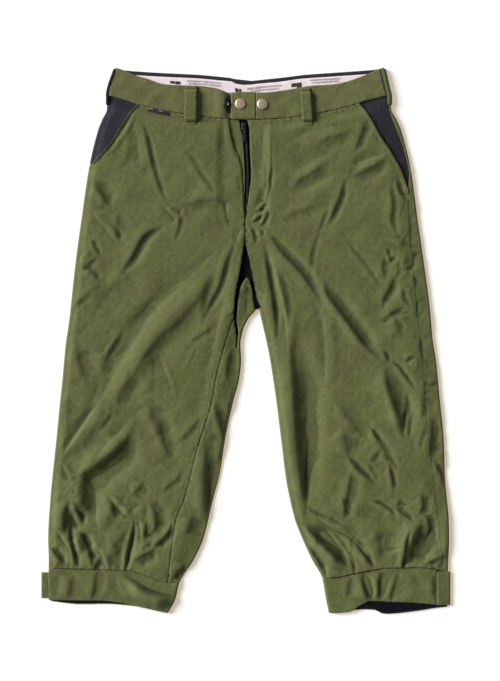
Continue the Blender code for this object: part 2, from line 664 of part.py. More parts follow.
def waistband():
    turn_in = BAND / 2 + TURN
    up, down = END_GAP / 2, 3
    front = band_rows(front_top, shifted(front_waist, up))
    back = band_rows(back_top, shifted(back_waist, up))
    rows = np.linspace(0.0, 1.0, down)

    def right_turn(y):
        return RIGHT.outer(y) + turn_in

    def left_turn(y):
        return LEFT.outer(y) - turn_in

    def right_under(y):
        return RIGHT.outer(y) + 9.0

    def left_seam(y):
        return LEFT.outer(y) - 7.0

    columns = [(FLOOR, right_under)] + [(OUTER, angle) for angle in (-90, -45, 0, 45)]
    columns += [(TOP, right_turn)]
    columns += [(TOP, between(right_turn, lambda y: 0 * y - 23.5, part)) for part in fractions(12)]
    points, normals = patch(RIGHT, columns, rows, front, band_height, BAND)
    cloth("waistband_front_right", "green", points, normals, BAND)

    def left_start(y):
        return left_seam(y) - SEAM_GAP

    columns = [(TOP, left_start)]
    columns += [(TOP, between(left_start, lambda y: 0 * y + 14.5, part)) for part in fractions(12)]
    points, normals = patch(LEFT, columns, rows, front, band_height, BAND)
    cloth("waistband_front_left", "green", points, normals, BAND)

    columns = [(TOP, lambda y, x=x: 0 * y + x) for x in (14.2, 3.0, -9.0, -20.6)]
    points, normals = patch(LEFT, columns, rows, front, band_height, BAND)
    cloth("waistband_tab", "green", points, normals, BAND)

    columns = [(TOP, left_seam), (TOP, left_turn)]
    columns += [(OUTER, angle) for angle in (45, 0, -45, -90)]
    columns += [(FLOOR, between(left_turn, lambda y: right_under(y) + SEAM_GAP, part))
                for part in fractions(20)]
    points, normals = patch(LEFT, columns, rows, back, band_height, BAND)
    cloth("waistband_back", "charcoal", points, normals, BAND)

    tape_xs = np.linspace(-168, 182, 22)
    tape_low = BAND + SEAM_GAP
    tape = np.array([[(x, back_top(x) - drop, tape_low + THIN / 2) for x in tape_xs]
                     for drop in (5.5, 19.5, 33.5)])
    up_normals = np.zeros_like(tape)
    up_normals[..., 2] = 1.0
    cloth("waist_tape", "tape", tape, up_normals, THIN)


def front_loop(name, top_x, foot_x, width, top_y, foot_y):
    """A belt loop: feet on the band's top edge and on the front, and a low arch between."""
    on_band = WAIST_LEVEL + BAND / 2 + SEAM_GAP + CLOTH / 2
    on_front = WAIST_LEVEL + CLOTH / 2 + SEAM_GAP + CLOTH / 2
    arch = on_band + 1.5
    # Columns: distance from the top, height of the cloth's middle
    length = top_y - foot_y
    course = ((0, on_band), (4, on_band), (8, arch), (length / 2, arch + 0.2),
              (length - 9, arch - 0.3), (length - 5, on_front), (length, on_front))
    path = np.array([(top_y - down, z) for down, z in course])
    slope = np.gradient(path, axis=0)
    slope /= np.linalg.norm(slope, axis=1, keepdims=True)
    points, normals = [], []
    for side in (-0.5, 0.5):
        part = (top_y - path[:, 0]) / length
        x = top_x + part * (foot_x - top_x) + side * width
        points.append(np.stack((x, path[:, 0], path[:, 1]), axis=-1))
        normals.append(np.stack((0 * x, slope[:, 1], -slope[:, 0]), axis=-1))
    cloth(name, "green", np.stack(points, axis=1), np.stack(normals, axis=1), CLOTH)


def side_loop(name, leg, finish, reach):
    """A belt loop round the side edge, over the waistband, made from the band's points."""
    columns = [(OUTER, angle) for angle in (-8, 20, 45, 70)]
    columns += [(TOP, lambda y: leg.outer(y) + leg.inward * (BAND / 2 + TURN)),
                (TOP, lambda y: leg.outer(y) + leg.inward * (BAND / 2 + TURN + reach))]
    rows = np.append(np.linspace(SIDE_LOOP_TOP, SIDE_WAIST_Y, 4), SIDE_LOOP_FOOT)

    def row_y(v, x, y, kind):
        return v + 0 * x

    points, normals = patch(leg, columns, rows, row_y, lambda x, y: WAIST_LEVEL + 0 * (x + y), BAND)
    cloth(name, finish, raised(points, normals, BAND, CLOTH), normals, CLOTH)


def label():
    low = WAIST_LEVEL + CLOTH / 2 + SEAM_GAP
    xs = (-137, -127, -117, -107.5)
    points = np.array([[(x, front_waist(x) - drop, low + THIN / 2) for x in xs]
                       for drop in (0.6, 5.0, 9.0)])
    up = np.zeros_like(points)
    up[..., 2] = 1.0
    cloth("label", "grey", points, up, THIN)


# ---------------------------------------------------------------- knee cuffs
def cuffs():
    for side, leg in (("right", RIGHT), ("left", LEFT)):
        open_edge = -276.0 if side == "right" else 267.0
        floor_edge = -273.5 if side == "right" else 282.5
        into = -leg.inward

        def turn(y, leg=leg, into=into):
            return leg.inner(y) + into * (CUFF / 2 + TURN)

        def fixed(x):
            return lambda y: 0 * y + x

        columns = [(TOP, between(fixed(open_edge), turn, part)) for part in [0.0] + fractions(12)]
        columns += [(INNER, angle) for angle in (45, 0, -45, -90)]
        columns += [(FLOOR, between(turn, fixed(floor_edge), part)) for part in fractions(9)]
        rows = np.linspace(0.0, 1.0, 4)
        points, normals = patch(leg, columns, rows, cuff_rows(leg), cuff_height, CUFF)
        cloth(f"cuff_{side}", "green", points, normals, CUFF)

        def lining_rows(v, x, y, kind, leg=leg):
            return leg.seam(x) - 4.0 + v * (leg.back_hem(x) + 1.2 - leg.seam(x) + 4.0)

        inner_end = fixed(turn(-378.0) + into * 3.0)
        outer_end = fixed(floor_edge - into * 2.0)
        columns = [(TOP, between(inner_end, outer_end, part)) for part in [0.0] + fractions(9)]
        level = CUFF + SEAM_GAP + THIN / 2
        points, normals = patch(leg, columns, np.linspace(0.0, 1.0, 3), lining_rows,
                                lambda x, y, level=level: level + 0 * (x + y), THIN)
        cloth(f"cuff_lining_{side}", "black", points, normals, THIN)

    flat_sheet("cuff_tab_right", "green", (-324, -342, -360), lambda y: 0 * y - 286.5,
               lambda y: 0 * y - 273.5 - SEAM_GAP, 0.0, CUFF)
    tab_ys = [LEFT.seam(276.0) - 1.5, -345.0, LEFT.hem(276.0)]
    flat_sheet("cuff_tab_left", "green", tab_ys, lambda y: 0 * y + 267.0 + SEAM_GAP,
               lambda y: 0 * y + 286.5, CUFF_LEVEL - CUFF / 2, CUFF)


# ---------------------------------------------------------------- hardware
def turned(name, finish, profile, centre, segments=24):
    """A turned piece about a vertical axis. profile: (radius, height) from the foot up."""
    x, y, z = centre
    vertices, faces = [], []
    for radius, height in profile:
        for i in range(segments):
            angle = 2 * math.pi * i / segments
            vertices.append((x + radius * math.cos(angle), y + radius * math.sin(angle), z + height))
    for ring in range(len(profile) - 1):
        for i in range(segments):
            a, b = ring * segments + i, ring * segments + (i + 1) % segments
            faces.append([a, b, b + segments, a + segments])
    faces.append(list(range(segments))[::-1])
    faces.append([(len(profile) - 1) * segments + i for i in range(segments)])
    return add_object(name, finish, vertices, faces, centre)


def snaps_and_button():
    base = WAIST_LEVEL + BAND / 2 + SEAM_GAP
    cap = ((SNAP_RIM, 0.0), (SNAP_RIM, 0.5), (SNAP_RADIUS, 0.9), (SNAP_RADIUS * 0.85, 1.5),
           (SNAP_RADIUS * 0.5, SNAP_HEIGHT))
    turned("snap_cap_tab", "nickel", cap, (-7.3, 332.0, base + TAB_RISE))
    turned("snap_cap_band", "nickel", cap, (23.5, 331.5, base + TAB_RISE))
    button = ((BUTTON_RADIUS, 0.0), (BUTTON_RADIUS, 1.2), (BUTTON_RADIUS * 0.8, BUTTON_HEIGHT),
              (BUTTON_RADIUS * 0.55, 1.1))
    turned("waist_button", "black", button, (-28.5, 332.0, base))


def block(name, finish, low, high, origin=(0.0, 0.0, 0.0)):
    corners = [(x, y, z) for z in (low[2], high[2]) for x, y in
               ((low[0], low[1]), (high[0], low[1]), (high[0], high[1]), (low[0], high[1]))]
    faces = [(3, 2, 1, 0), (4, 5, 6, 7), (0, 1, 5, 4), (1, 2, 6, 5), (2, 3, 7, 6), (3, 0, 4, 7)]
    return add_object(name, finish, corners, faces, origin)


def zip_slider():
    """A slider body with a bail on it, and the pull whose eye turns in the bail."""
    wide, long, thick = SLIDER_SIZE
    low = CLOTH + SEAM_GAP + THIN + SEAM_GAP
    top = low + thick
    centre = (SLIDER_X, SLIDER_Y, low)
    body = block("zip_slider", "black_metal", (SLIDER_X - wide / 2, SLIDER_Y - long / 2, low),
                 (SLIDER_X + wide / 2, SLIDER_Y + long / 2, top), centre)
    rounding = body.modifiers.new("rounded edges", "BEVEL")
    rounding.width = 0.8 * MM
    rounding.segments = 2
    # Bail seen from the side, from one foot over to the other. Columns: y, z
    reach, hole = BAIL_REACH, BAIL_REACH - BAIL_WALL
    arch = top + 0.2 + BAIL_HOLE
    foot = top - 0.5
    side = ((-reach, foot), (-reach, arch), (-hole, arch + BAIL_WALL), (hole, arch + BAIL_WALL),
            (reach, arch), (reach, foot), (hole, foot), (hole, arch), (-hole, arch), (-hole, foot))
    count = len(side)
    vertices = [(SLIDER_X + x, SLIDER_Y + y, z)
                for x in (-BAIL_WIDTH / 2, BAIL_WIDTH / 2) for y, z in side]
    faces = [(i, (i + 1) % count, (i + 1) % count + count, i + count) for i in range(count)]
    for start in (0, count):
        faces += [[start + i for i in ring] for ring in
                  ((0, 1, 8, 9), (1, 2, 3, 4, 7, 8), (4, 5, 6, 7))]
    bail = add_object("bail_part", "black_metal", vertices, faces, centre)
    bail.hide_render = True
    bail.display_type = "WIRE"
    join = body.modifiers.new("bail", "BOOLEAN")
    join.operation = "UNION"
    join.object = bail

    hinge = (SLIDER_X, SLIDER_Y, top + 0.2 + BAIL_HOLE / 2)
    half, edge = PULL_WIDTH / 2, PULL_THICK / 2
    eye = EYE_WIDTH / 2
    outer = ((-half, edge), (half, edge), (half * 0.8, -PULL_LENGTH), (-half * 0.8, -PULL_LENGTH))
    inner = ((-eye, -edge), (eye, -edge), (eye, -EYE_END), (-eye, -EYE_END))
    vertices = [(hinge[0] + x, hinge[1] + y, hinge[2] + z)
                for z in (-edge, edge) for x, y in outer + inner]
    faces = []
    for i in range(4):
        n = (i + 1) % 4
        faces += [(i, n, n + 4, i + 4), (i + 8, i + 12, n + 12, n + 8),
                  (i, i + 8, n + 8, n), (i + 4, n + 4, n + 12, i + 12)]
    add_object("zip_pull", "black_metal", vertices, faces, hinge)


def centre_on_origin():
    """Set the middle of the whole outline on x = y = 0."""
    bpy.context.view_layer.update()
    things = [thing for thing in bpy.context.scene.objects if thing.type == "MESH"]
    corners = np.array([tuple(thing.matrix_world @ vertex.co)
                        for thing in things for vertex in thing.data.vertices])
    middle = (corners.min(axis=0) + corners.max(axis=0)) / 2
    for thing in things:
        thing.location.x -= middle[0]
        thing.location.y -= middle[1]


def main():
    for old in list(bpy.data.objects):
        bpy.data.objects.remove(old, do_unlink=True)
    right_back()
    left_back()
    right_front()
    left_front()
    right_facing()
    left_facing()
    gusset_and_fly()
    waistband()
    for row in FRONT_LOOPS:
        front_loop(*row)
    side_loop("belt_loop_side_right", RIGHT, "black", 2.5)
    side_loop("belt_loop_side_left", LEFT, "green", 5.5)
    label()
    cuffs()
    snaps_and_button()
    zip_slider()
    centre_on_origin()


main()
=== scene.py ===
# %% [markdown]
# # Knee breeches laid flat
# A pair of outdoor knee breeches lies on its back on a pale table: a fly with a zip and two
# snaps, slanted pockets over dark facings, belt loops, and gathered cuffs below the knee.
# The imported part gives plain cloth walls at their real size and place. This lesson lays a
# finer cloth in the same places, with the folds, seams, stitches and metal that a tailor and
# a long day outdoors put there.

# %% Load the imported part
import math

import bmesh
import bpy
import numpy as np
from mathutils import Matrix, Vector


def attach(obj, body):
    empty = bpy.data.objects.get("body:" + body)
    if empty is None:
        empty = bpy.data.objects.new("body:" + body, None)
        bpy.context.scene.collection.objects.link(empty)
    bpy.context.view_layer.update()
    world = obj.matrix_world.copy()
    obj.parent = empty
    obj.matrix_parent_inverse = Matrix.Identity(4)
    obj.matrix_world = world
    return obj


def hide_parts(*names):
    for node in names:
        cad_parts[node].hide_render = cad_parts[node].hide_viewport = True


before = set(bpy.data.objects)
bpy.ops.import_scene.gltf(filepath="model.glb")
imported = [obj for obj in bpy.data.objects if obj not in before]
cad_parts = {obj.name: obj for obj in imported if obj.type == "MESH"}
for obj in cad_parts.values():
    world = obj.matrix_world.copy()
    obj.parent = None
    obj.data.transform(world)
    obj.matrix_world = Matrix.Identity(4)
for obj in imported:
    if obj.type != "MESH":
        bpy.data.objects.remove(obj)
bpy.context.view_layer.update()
MM = 0.001
SHIFT_Y = -0.0417         # the sizes below are the tailor's own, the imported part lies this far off

# %% [markdown]
# ## Camera, table and light
# A flat garment is looked at from straight above. A long lens keeps its sides straight.
# The camera comes first, so that every later piece can be judged through it.

# %% Camera
VIEW_MIDDLE = (5.95 * MM, 1.05 * MM)
VIEW_TALL = 953.4 * MM
LENS, SENSOR = 85.0, 36.0


def add_object(name, data):
    """An object at the origin, in the scene."""
    made = bpy.data.objects.new(name, data)
    bpy.context.scene.collection.objects.link(made)
    return made


lens = bpy.data.cameras.new("overhead")
lens.lens = LENS
lens.sensor_width = SENSOR
camera = add_object("overhead", lens)
camera.location = (*VIEW_MIDDLE, VIEW_TALL * LENS / SENSOR + 5 * MM)
bpy.context.scene.camera = camera
print("camera height:", round(camera.location.z, 3), "m")

# %% [markdown]
# The main light comes from the upper left, low enough to rake over the folds, so that each
# ridge gets a light side and a shaded side. It is a sun with a wide disc: as soft as a large
# studio lamp, and as strong at one cuff as at the other. A pale world fills the shade. The
# table is plain, and glows with a painted warm light though it is no lamp: lit, it looks almost
# white, and its shadows stay pale and warm.

# %% Light and table
KEY_FROM = (-0.94, 0.34)  # the way towards the light, seen from above
KEY_HEIGHT, KEY_DISC = 26.0, 28.0      # in degrees: over the table, and how wide the sun is
KEY_STRENGTH, FILL_STRENGTH = 7.6, 0.28


def new_material(name, sockets):
    """A material, its node tree and its shader. sockets: the shader's plain values by name."""
    made = bpy.data.materials.new(name)
    made.use_nodes = True
    shader = made.node_tree.nodes["Principled BSDF"]
    for socket, value in sockets.items():
        shader.inputs[socket].default_value = value
    return made, made.node_tree, shader


sun = bpy.data.lights.new("key_lamp", "SUN")
sun.angle = math.radians(KEY_DISC)
sun.energy = KEY_STRENGTH
sun.color = (1.0, 0.99, 0.97)
lamp = add_object("key_lamp", sun)
away = Vector((*KEY_FROM, 0.0)).normalized() * math.cos(math.radians(KEY_HEIGHT))
away.z = math.sin(math.radians(KEY_HEIGHT))
lamp.location = away * 3.0
lamp.rotation_euler = away.to_track_quat("Z", "Y").to_euler()
world = bpy.data.worlds.new("studio")
world.use_nodes = True
fill = world.node_tree.nodes["Background"]
fill.inputs["Color"].default_value = (1.0, 0.985, 0.965, 1.0)
fill.inputs["Strength"].default_value = FILL_STRENGTH
bpy.context.scene.world = world
bpy.context.scene.view_settings.view_transform = "Standard"

TABLE_HALF = 3.0
TABLE_PAINTED_GLOW = 1.0          # the table glows, though it is no lamp: painted warm light keeps its shadows pale and warm
table_mesh = bpy.data.meshes.new("table")
table_mesh.from_pydata([(x * TABLE_HALF, y * TABLE_HALF, 0)
                        for x, y in ((-1, -1), (1, -1), (1, 1), (-1, 1))], [], [(0, 1, 2, 3)])
# The table's own colour is a cool grey-blue; with the painted warm glow it looks white where lit, and
# pale and warm in shadow.
table_mesh.materials.append(new_material("table_white", {
    "Base Color": (0.47, 0.52, 0.60, 1), "Roughness": 0.9,
    "Emission Color": (0.42, 0.36, 0.25, 1), "Emission Strength": TABLE_PAINTED_GLOW})[0])
add_object("table", table_mesh)
print("lamps: 1, table:", 2 * TABLE_HALF, "m")

# %% [markdown]
# ## The garment's sizes
# A tailor works from a pattern: how wide the garment is at each height, where the seams run,
# how far the cloth is from the table. All of these are millimetres. "Right" and "left" are
# the wearer's, so the right leg lies at -X. Each table is short, and a smooth curve without
# overshoot is drawn through its rows.

# %% Cloth thicknesses and levels
SEAM_GAP, END_GAP = 0.3, 0.2            # between pieces: along a seam, and at a panel's ends
CLOTH, BAND, CUFF, THIN = 1.2, 2.4, 2.0, 1.0      # how thick each kind of cloth is
TURN = 2.6                # half width of the rounded turn at a leg's edge
# The middle of the cloth over the table, and the least it keeps where something lies under it
FRONT_LEVEL, WAIST_LEVEL, CUFF_LEVEL = 4.2, 5.2, 4.7
GUSSET_CLEAR, BACK_CLEAR, FLY_CLEAR = 3.7, 2.3, 4.9
POCKET_DROP, TAB_RISE = 1.7, 1.0        # the facings lie lower, the waist tab higher
UNDER_WRAP, INSEAM_WRAP, FACING_DEPTH = 12.0, 10.0, 22.0      # how far cloth reaches under
CROTCH_Y, SIDE_WAIST_Y, FLY_WAIST_Y, CUFF_Y = 46.5, 343.5, 311.0, -325.0
BAND_WIDTH, POCKET_END_Y = 39.5, 212.0
print("cloth:", CLOTH, "band:", BAND, "cuff:", CUFF, "mm")

# %% Outline of each leg, waistband and cuffs
# Columns: y, outer x, inner x
OUTLINE_RIGHT = (
    (383, -183.5, -0.5), (343.5, -194.5, -0.5), (326, -194.5, -0.5), (310, -201.5, -0.5),
    (296, -207, -0.5), (246.5, -219, -0.5), (170, -230.5, -0.5), (111, -238.5, 0.5),
    (46.5, -245.5, 14.5), (32.5, -247, 4), (15.5, -249.5, -4), (-5, -252.5, -7.5),
    (-26, -254.5, -6.5), (-54, -257, -9.5), (-82, -260, -17), (-138, -265.5, -29),
    (-180, -270, -35.5), (-222, -274, -46), (-278, -277, -60), (-306, -276, -73),
    (-338.5, -277.5, -93), (-362, -277, -99), (-380.5, -275.5, -109),
)
OUTLINE_LEFT = (
    (383, 194.5, -0.5), (354.5, 201, -0.5), (343.5, 203.5, -0.5), (326, 203.8, -0.5),
    (310, 211.5, -0.5), (296, 217.5, -0.5), (239.5, 231.5, -0.5), (170, 241, -0.5),
    (111, 249.5, 6), (46.5, 258, 18.5), (29.5, 259.5, 22), (2, 262, 28.5),
    (-26, 266.5, 34), (-82, 272, 42.5), (-138, 277.5, 49.5), (-194, 279.5, 56.5),
    (-222, 282, 62), (-250, 284.5, 69), (-278, 285, 80), (-306, 284, 93),
    (-331.5, 283, 107), (-362, 284.5, 112.5), (-380.5, 284.5, 116.5),
)
# Columns: x, top y, bottom y
WAIST_FRONT = (
    (-196.5, 383, 344), (-185, 383, 342.5), (-173, 380, 339), (-152, 371.5, 332),
    (-137, 367, 328), (-120, 361, 324), (-106, 359, 321.5), (-64, 357.5, 315.5),
    (-43, 354.5, 313), (-22, 348, 311), (0.5, 349, 310.5), (23, 348, 311), (55, 351.5, 312.5),
    (90, 357.5, 318), (125, 360, 324), (146, 365, 329.5), (160, 370, 334), (174, 375.5, 338),
    (185, 380, 340.5), (197, 383, 343.5), (207.5, 383, 343.5),
)
# Columns: x, top y
WAIST_BACK = (
    (-196.5, 383), (-185, 383), (-173, 380), (-134, 377), (-106, 375.5), (-64, 373.5),
    (-36, 370.8), (-20, 369.4), (-11.5, 365.4), (0.5, 364.6), (20, 366.5), (48, 369),
    (76, 373), (132, 377), (185, 381), (197, 383), (207.5, 383),
)
# Columns: x, seam y, hem y of the front, hem y of the back
CUFF_RIGHT = (
    (-288, -317.5, -362, -362), (-232, -319, -363, -368.5), (-197, -320, -363.5, -368),
    (-162, -321.5, -369, -370.5), (-134, -330, -375, -375), (-106, -338.5, -380.5, -380.5),
    (-90, -338.5, -380.5, -380.5),
)
CUFF_LEFT = (
    (105, -331.5, -380.5, -380.5), (125, -331, -380.5, -380.5), (146, -327, -378.5, -377.5),
    (160, -324, -370.5, -376), (175.5, -321, -363.8, -375.8), (183, -320, -364, -376.4),
    (190.5, -318.6, -364.2, -382), (197, -318, -364.6, -382.3),
    (237, -317, -366.5, -378.5), (265, -319, -368.5, -374), (288, -324, -370.5, -371.5),
)
print("outline rows:", len(OUTLINE_RIGHT), "and", len(OUTLINE_LEFT))

# %% Seams, pockets, zip and gusset
# Inner edge of the right front: fly, crotch, then inseam. Columns: y, x
RIGHT_FRONT_EDGE = (
    (311, -24), (284.5, -19), (258, -10), (232.5, -5), (205, -3.5), (167, -1.5), (144.5, -1.2),
    (127.5, -4), (100, -8), (72, -13.5), (57.5, -15.5), (32.5, -17), (21.5, -21), (-9.5, -30.5),
    (-54, -42), (-81, -46.5), (-152, -68), (-222, -86.5), (-246.5, -96.5), (-285, -103),
    (-338.5, -109),
)
# Inner edge of the left front from the waist to the crotch. Columns: y, x
LEFT_FRONT_EDGE = (
    (311, 2), (296, 5), (268, 6), (232.5, 7.5), (205, 4.5), (179.5, 1), (167, -0.5),
    (144.5, -0.6), (127.5, 1.5), (116.5, 4.5), (93, 9), (65, 14.5), (46.5, 18.5),
)
# Left side seam, on top of the leg. Columns: y, x
LEFT_SIDE_SEAM = (
    (343.5, 199.5), (326.5, 200.5), (296, 210.5), (275, 219), (253.5, 224.5), (239.5, 228.5),
    (212, 227.5), (195, 228), (127.5, 232.5), (57.5, 239), (-30, 247.5), (-81, 251),
    (-152, 258.5), (-222, 266.5), (-278, 273.5), (-331.5, 277.5),
)
# Slanted pocket mouths. Columns: y, x
LEFT_POCKET = (
    (343.5, 149), (333.5, 158.5), (312.5, 174), (287.5, 188), (266.5, 202), (242.5, 216),
    (225.5, 223), (212, 227.5),
)
RIGHT_POCKET = (
    (343.5, -141), (332, -152), (321, -162), (300, -176), (278, -190), (261, -204),
    (246.5, -218), (235, -230),
)
# Columns: y, left edge of the fly's opening, middle of the zip, right edge of the opening
ZIP = (
    (311, -9.5, -3.5, 2.5), (296, -7, -1.5, 5), (282, -4, 1, 5), (261, -2.5, 2, 6),
    (232.5, -1, 3, 7.5), (205, -1, 2.5, 5), (179.5, -2, 0, 2), (167, -2.5, -0.5, 1),
)
# Columns: y, left x, right x
GUSSET = (
    (147.5, -3, 1), (135, -8, 4.5), (111, -13.5, 13), (90, -16.5, 15.5), (65, -20.5, 21),
    (52, -22, 23), (46.0, -22, 22), (44.6, -22, 3), (32.5, -22, -4), (2, -20.5, -15),
)
# Tip of the right back that folds up over the crotch. Columns: x, y
CROTCH_TIP = ((12, 49.5), (10.5, 60), (8.5, 72), (5, 84), (0.8, 89.5), (-4, 82), (-7.5, 74), (-10, 61))
# Line of the gusset's tail across the right back. Columns: y, x
TAIL_LINE = (
    (46.5, -13), (32.5, -14.5), (20, -13), (7.5, -11.5), (-5, -12), (-26, -17), (-54, -26),
    (-152, -48), (-338, -100),
)
# Columns: y, x
CENTRE_BACK = ((344, 0.5), (142, 0.5), (86, 6), (46.5, 15.5))
print("fly opening:", ZIP[0][0] - ZIP[-1][0], "mm long")

# %% Smooth curves through the tables
def curve(table, column=1):
    """A smooth function of a table's first column, with no overshoot between its rows."""
    rows = sorted(table, key=lambda row: row[0])
    at = np.array([row[0] for row in rows], dtype=float)
    value = np.array([row[column] for row in rows], dtype=float)
    step = np.diff(value) / np.diff(at)
    slope = np.empty_like(value)
    slope[0], slope[-1] = step[0], step[-1]
    before, after = step[:-1], step[1:]
    level = before * after <= 0.0
    slope[1:-1] = np.where(level, 0.0, 2.0 * before * after / np.where(level, 1.0, before + after))

    def read(t):
        t = np.clip(t, at[0], at[-1])
        i = np.clip(np.searchsorted(at, t) - 1, 0, len(at) - 2)
        width = at[i + 1] - at[i]
        u = (t - at[i]) / width
        bend = u * (1.0 - u) * ((1.0 - u) * slope[i] - u * slope[i + 1]) * width
        return value[i] + u * u * (3.0 - 2.0 * u) * (value[i + 1] - value[i]) + bend

    return read


def ease(t):
    """0 below 0, 1 above 1, smooth between."""
    t = np.clip(t, 0.0, 1.0)
    return t * t * (3.0 - 2.0 * t)


def rise(value, start, width):
    """0 while the value is below start, 1 when it is more than width past it."""
    return ease((value - start) / width)


front_top, front_waist = curve(WAIST_FRONT, 1), curve(WAIST_FRONT, 2)
back_top = curve(WAIST_BACK)
right_front_edge, left_front_edge = curve(RIGHT_FRONT_EDGE), curve(LEFT_FRONT_EDGE)
left_side_seam = curve(LEFT_SIDE_SEAM)
left_pocket, right_pocket = curve(LEFT_POCKET), curve(RIGHT_POCKET)
tail_line, centre_back = curve(TAIL_LINE), curve(CENTRE_BACK)
gusset_left, gusset_right = curve(GUSSET, 1), curve(GUSSET, 2)
zip_left, zip_centre, zip_right = (curve(ZIP, column) for column in (1, 2, 3))
for place_name, column, at_y in (("waist", 1, SIDE_WAIST_Y), ("gap between the cuffs", 2, -338)):
    wide = curve(OUTLINE_LEFT, column)(at_y) - curve(OUTLINE_RIGHT, column)(at_y)
    print(place_name, round(float(wide)), "mm")

# %% [markdown]
# ## A leg as a flattened tube
# A trouser leg on a table is a tube pressed flat: a front run on top, a back run on the
# table and a rounded turn at each side. Every panel is a patch of that tube, cut along the
# seams. All panels of a leg share the same rows, so their edges meet.

# %% Rows and edges of a leg
SEAT_ROWS, LEG_ROWS = 14, 21
FINE = 13                 # fine rows for each of those


def back_waist(x):
    return back_top(x) - BAND_WIDTH


class Leg:
    """One leg's outline, and the rows that all of its panels share."""

    def __init__(self, outline, cuff, inward):
        self.outer, self.inner = curve(outline, 1), curve(outline, 2)
        self.seam, self.hem, self.back_hem = (curve(cuff, column) for column in (1, 2, 3))
        self.inward = inward
        self.crotch = (FLY_WAIST_Y - CROTCH_Y) / (FLY_WAIST_Y - self.bottom(1.0))
        seat, leg = SEAT_ROWS * FINE, LEG_ROWS * FINE
        above = self.crotch * np.arange(seat) / seat
        below = self.crotch + (1.0 - self.crotch) * np.arange(leg + 1) / leg
        self.rows = np.concatenate((above, below))

    def across(self, part, y):
        return self.outer(y) + part * (self.inner(y) - self.outer(y))

    def bottom(self, part):
        return self.seam(self.across(part, self.seam(self.across(part, CUFF_Y))))

    def row(self, v, x, y, waist, fade):
        """The y of row v at x. The row starts on the waist curve and ends on the cuff."""
        part = np.clip((x - self.outer(y)) / (self.inner(y) - self.outer(y)), 0.0, 1.0)
        straight = SIDE_WAIST_Y + part * (FLY_WAIST_Y - SIDE_WAIST_Y)
        dip = waist(self.across(part, straight)) - straight
        dip = dip * np.clip(1.0 - v / fade, 0.0, 1.0)
        return (straight - END_GAP / 2) * (1.0 - v) + (self.bottom(part) + END_GAP / 2) * v + dip


RIGHT = Leg(OUTLINE_RIGHT, CUFF_RIGHT, 1.0)
LEFT = Leg(OUTLINE_LEFT, CUFF_LEFT, -1.0)
print("rows from waist to cuff:", len(RIGHT.rows))

# %% [markdown]
# ## Folds
# Cloth that has been worn and laid down keeps creases where the body bent it: rays from the
# crotch, bunches at the knee, and short pleats above the cuffs. A simulation would make folds
# of its own choosing, so each one is laid here, one by one: a soft trough or ridge along a
# short path, with a lip of pushed-up cloth on one side. No two are the same.

# %% Folds of the right seat
# Each row is one face of a fold, a strip where the cloth tilts. Columns: tilt (positive turns
# away from the light, negative towards it), half width, then the path's points x, y.
# Here a long crease runs from the pocket, and ends in a star.
SEAT_RIGHT = (
    (-0.2, 3.9, (-161, 313), (-155, 296), (-149, 268), (-147, 233)),
    (0.8, 2.1, (-26, 317), (-24, 308), (-22, 294), (-19, 280), (-16, 266), (-14, 251)),
    (0.53, 1.8, (-154, 319), (-144, 299), (-138, 278), (-133, 254), (-126, 229), (-117, 203),
     (-105, 177)),
    (-0.55, 1.5, (-148, 328), (-156, 318), (-163, 308), (-171, 294), (-180, 282), (-187, 272),
     (-196, 262), (-205, 252)),
    (0.3, 2, (-91, 272), (-75, 250), (-63, 230), (-50, 212), (-40, 194)),
    (0.42, 1.6, (-100, 193), (-93, 173), (-95, 157), (-104, 135)),
    (-0.36, 1.6, (-83, 191), (-95, 175), (-106, 160)),
    (-0.3, 1.6, (-118, 191), (-105, 178), (-93, 164)),
    (0.85, 2.7, (-109, 170), (-120, 161), (-134, 154), (-144, 146), (-151, 133), (-161, 115),
     (-170, 103), (-180, 89)),
    (0.22, 7, (-175, 96), (-190, 72), (-207, 51), (-221, 27)),
    (0.22, 4.5, (-95, 189), (-75, 194), (-56, 199), (-33, 198), (-8, 199)),
    (0.47, 1.8, (-34, 201), (-30, 181), (-25, 156)),
    (0.45, 4.1, (-217, 226), (-208, 213), (-200, 202), (-189, 184)),
    (0.28, 3.6, (-177, 187), (-179, 170), (-180, 153), (-177, 135)),
    (-0.22, 2.2, (-222, 192), (-208, 171), (-196, 157), (-181, 138)),
    (0.46, 1.6, (-219, 147), (-212, 131), (-202, 115)),
    (0.46, 1.8, (-206, 121), (-219, 110), (-235, 97)),
    (0.36, 2.2, (-229, 103), (-215, 94), (-205, 80)),
    (0.36, 1.7, (-192, 165), (-182, 152), (-176, 135)),
    (0.38, 2.1, (-208, 78), (-226, 63), (-236, 54), (-249, 34)),
    (-0.26, 2.2, (-218, 135), (-229, 119), (-238, 101)),
    (0.21, 3.9, (-163, 307), (-162, 289), (-166, 261), (-179, 240)),
    (0.33, 3.2, (-14, 237), (-11, 223), (-8, 203)),
    (0.22, 5.6, (-198, 100), (-204, 83), (-215, 66), (-232, 55), (-242, 44)),
    (-0.14, 5.6, (-176, 111), (-190, 93), (-198, 72)),
)
print("right seat:", len(SEAT_RIGHT))

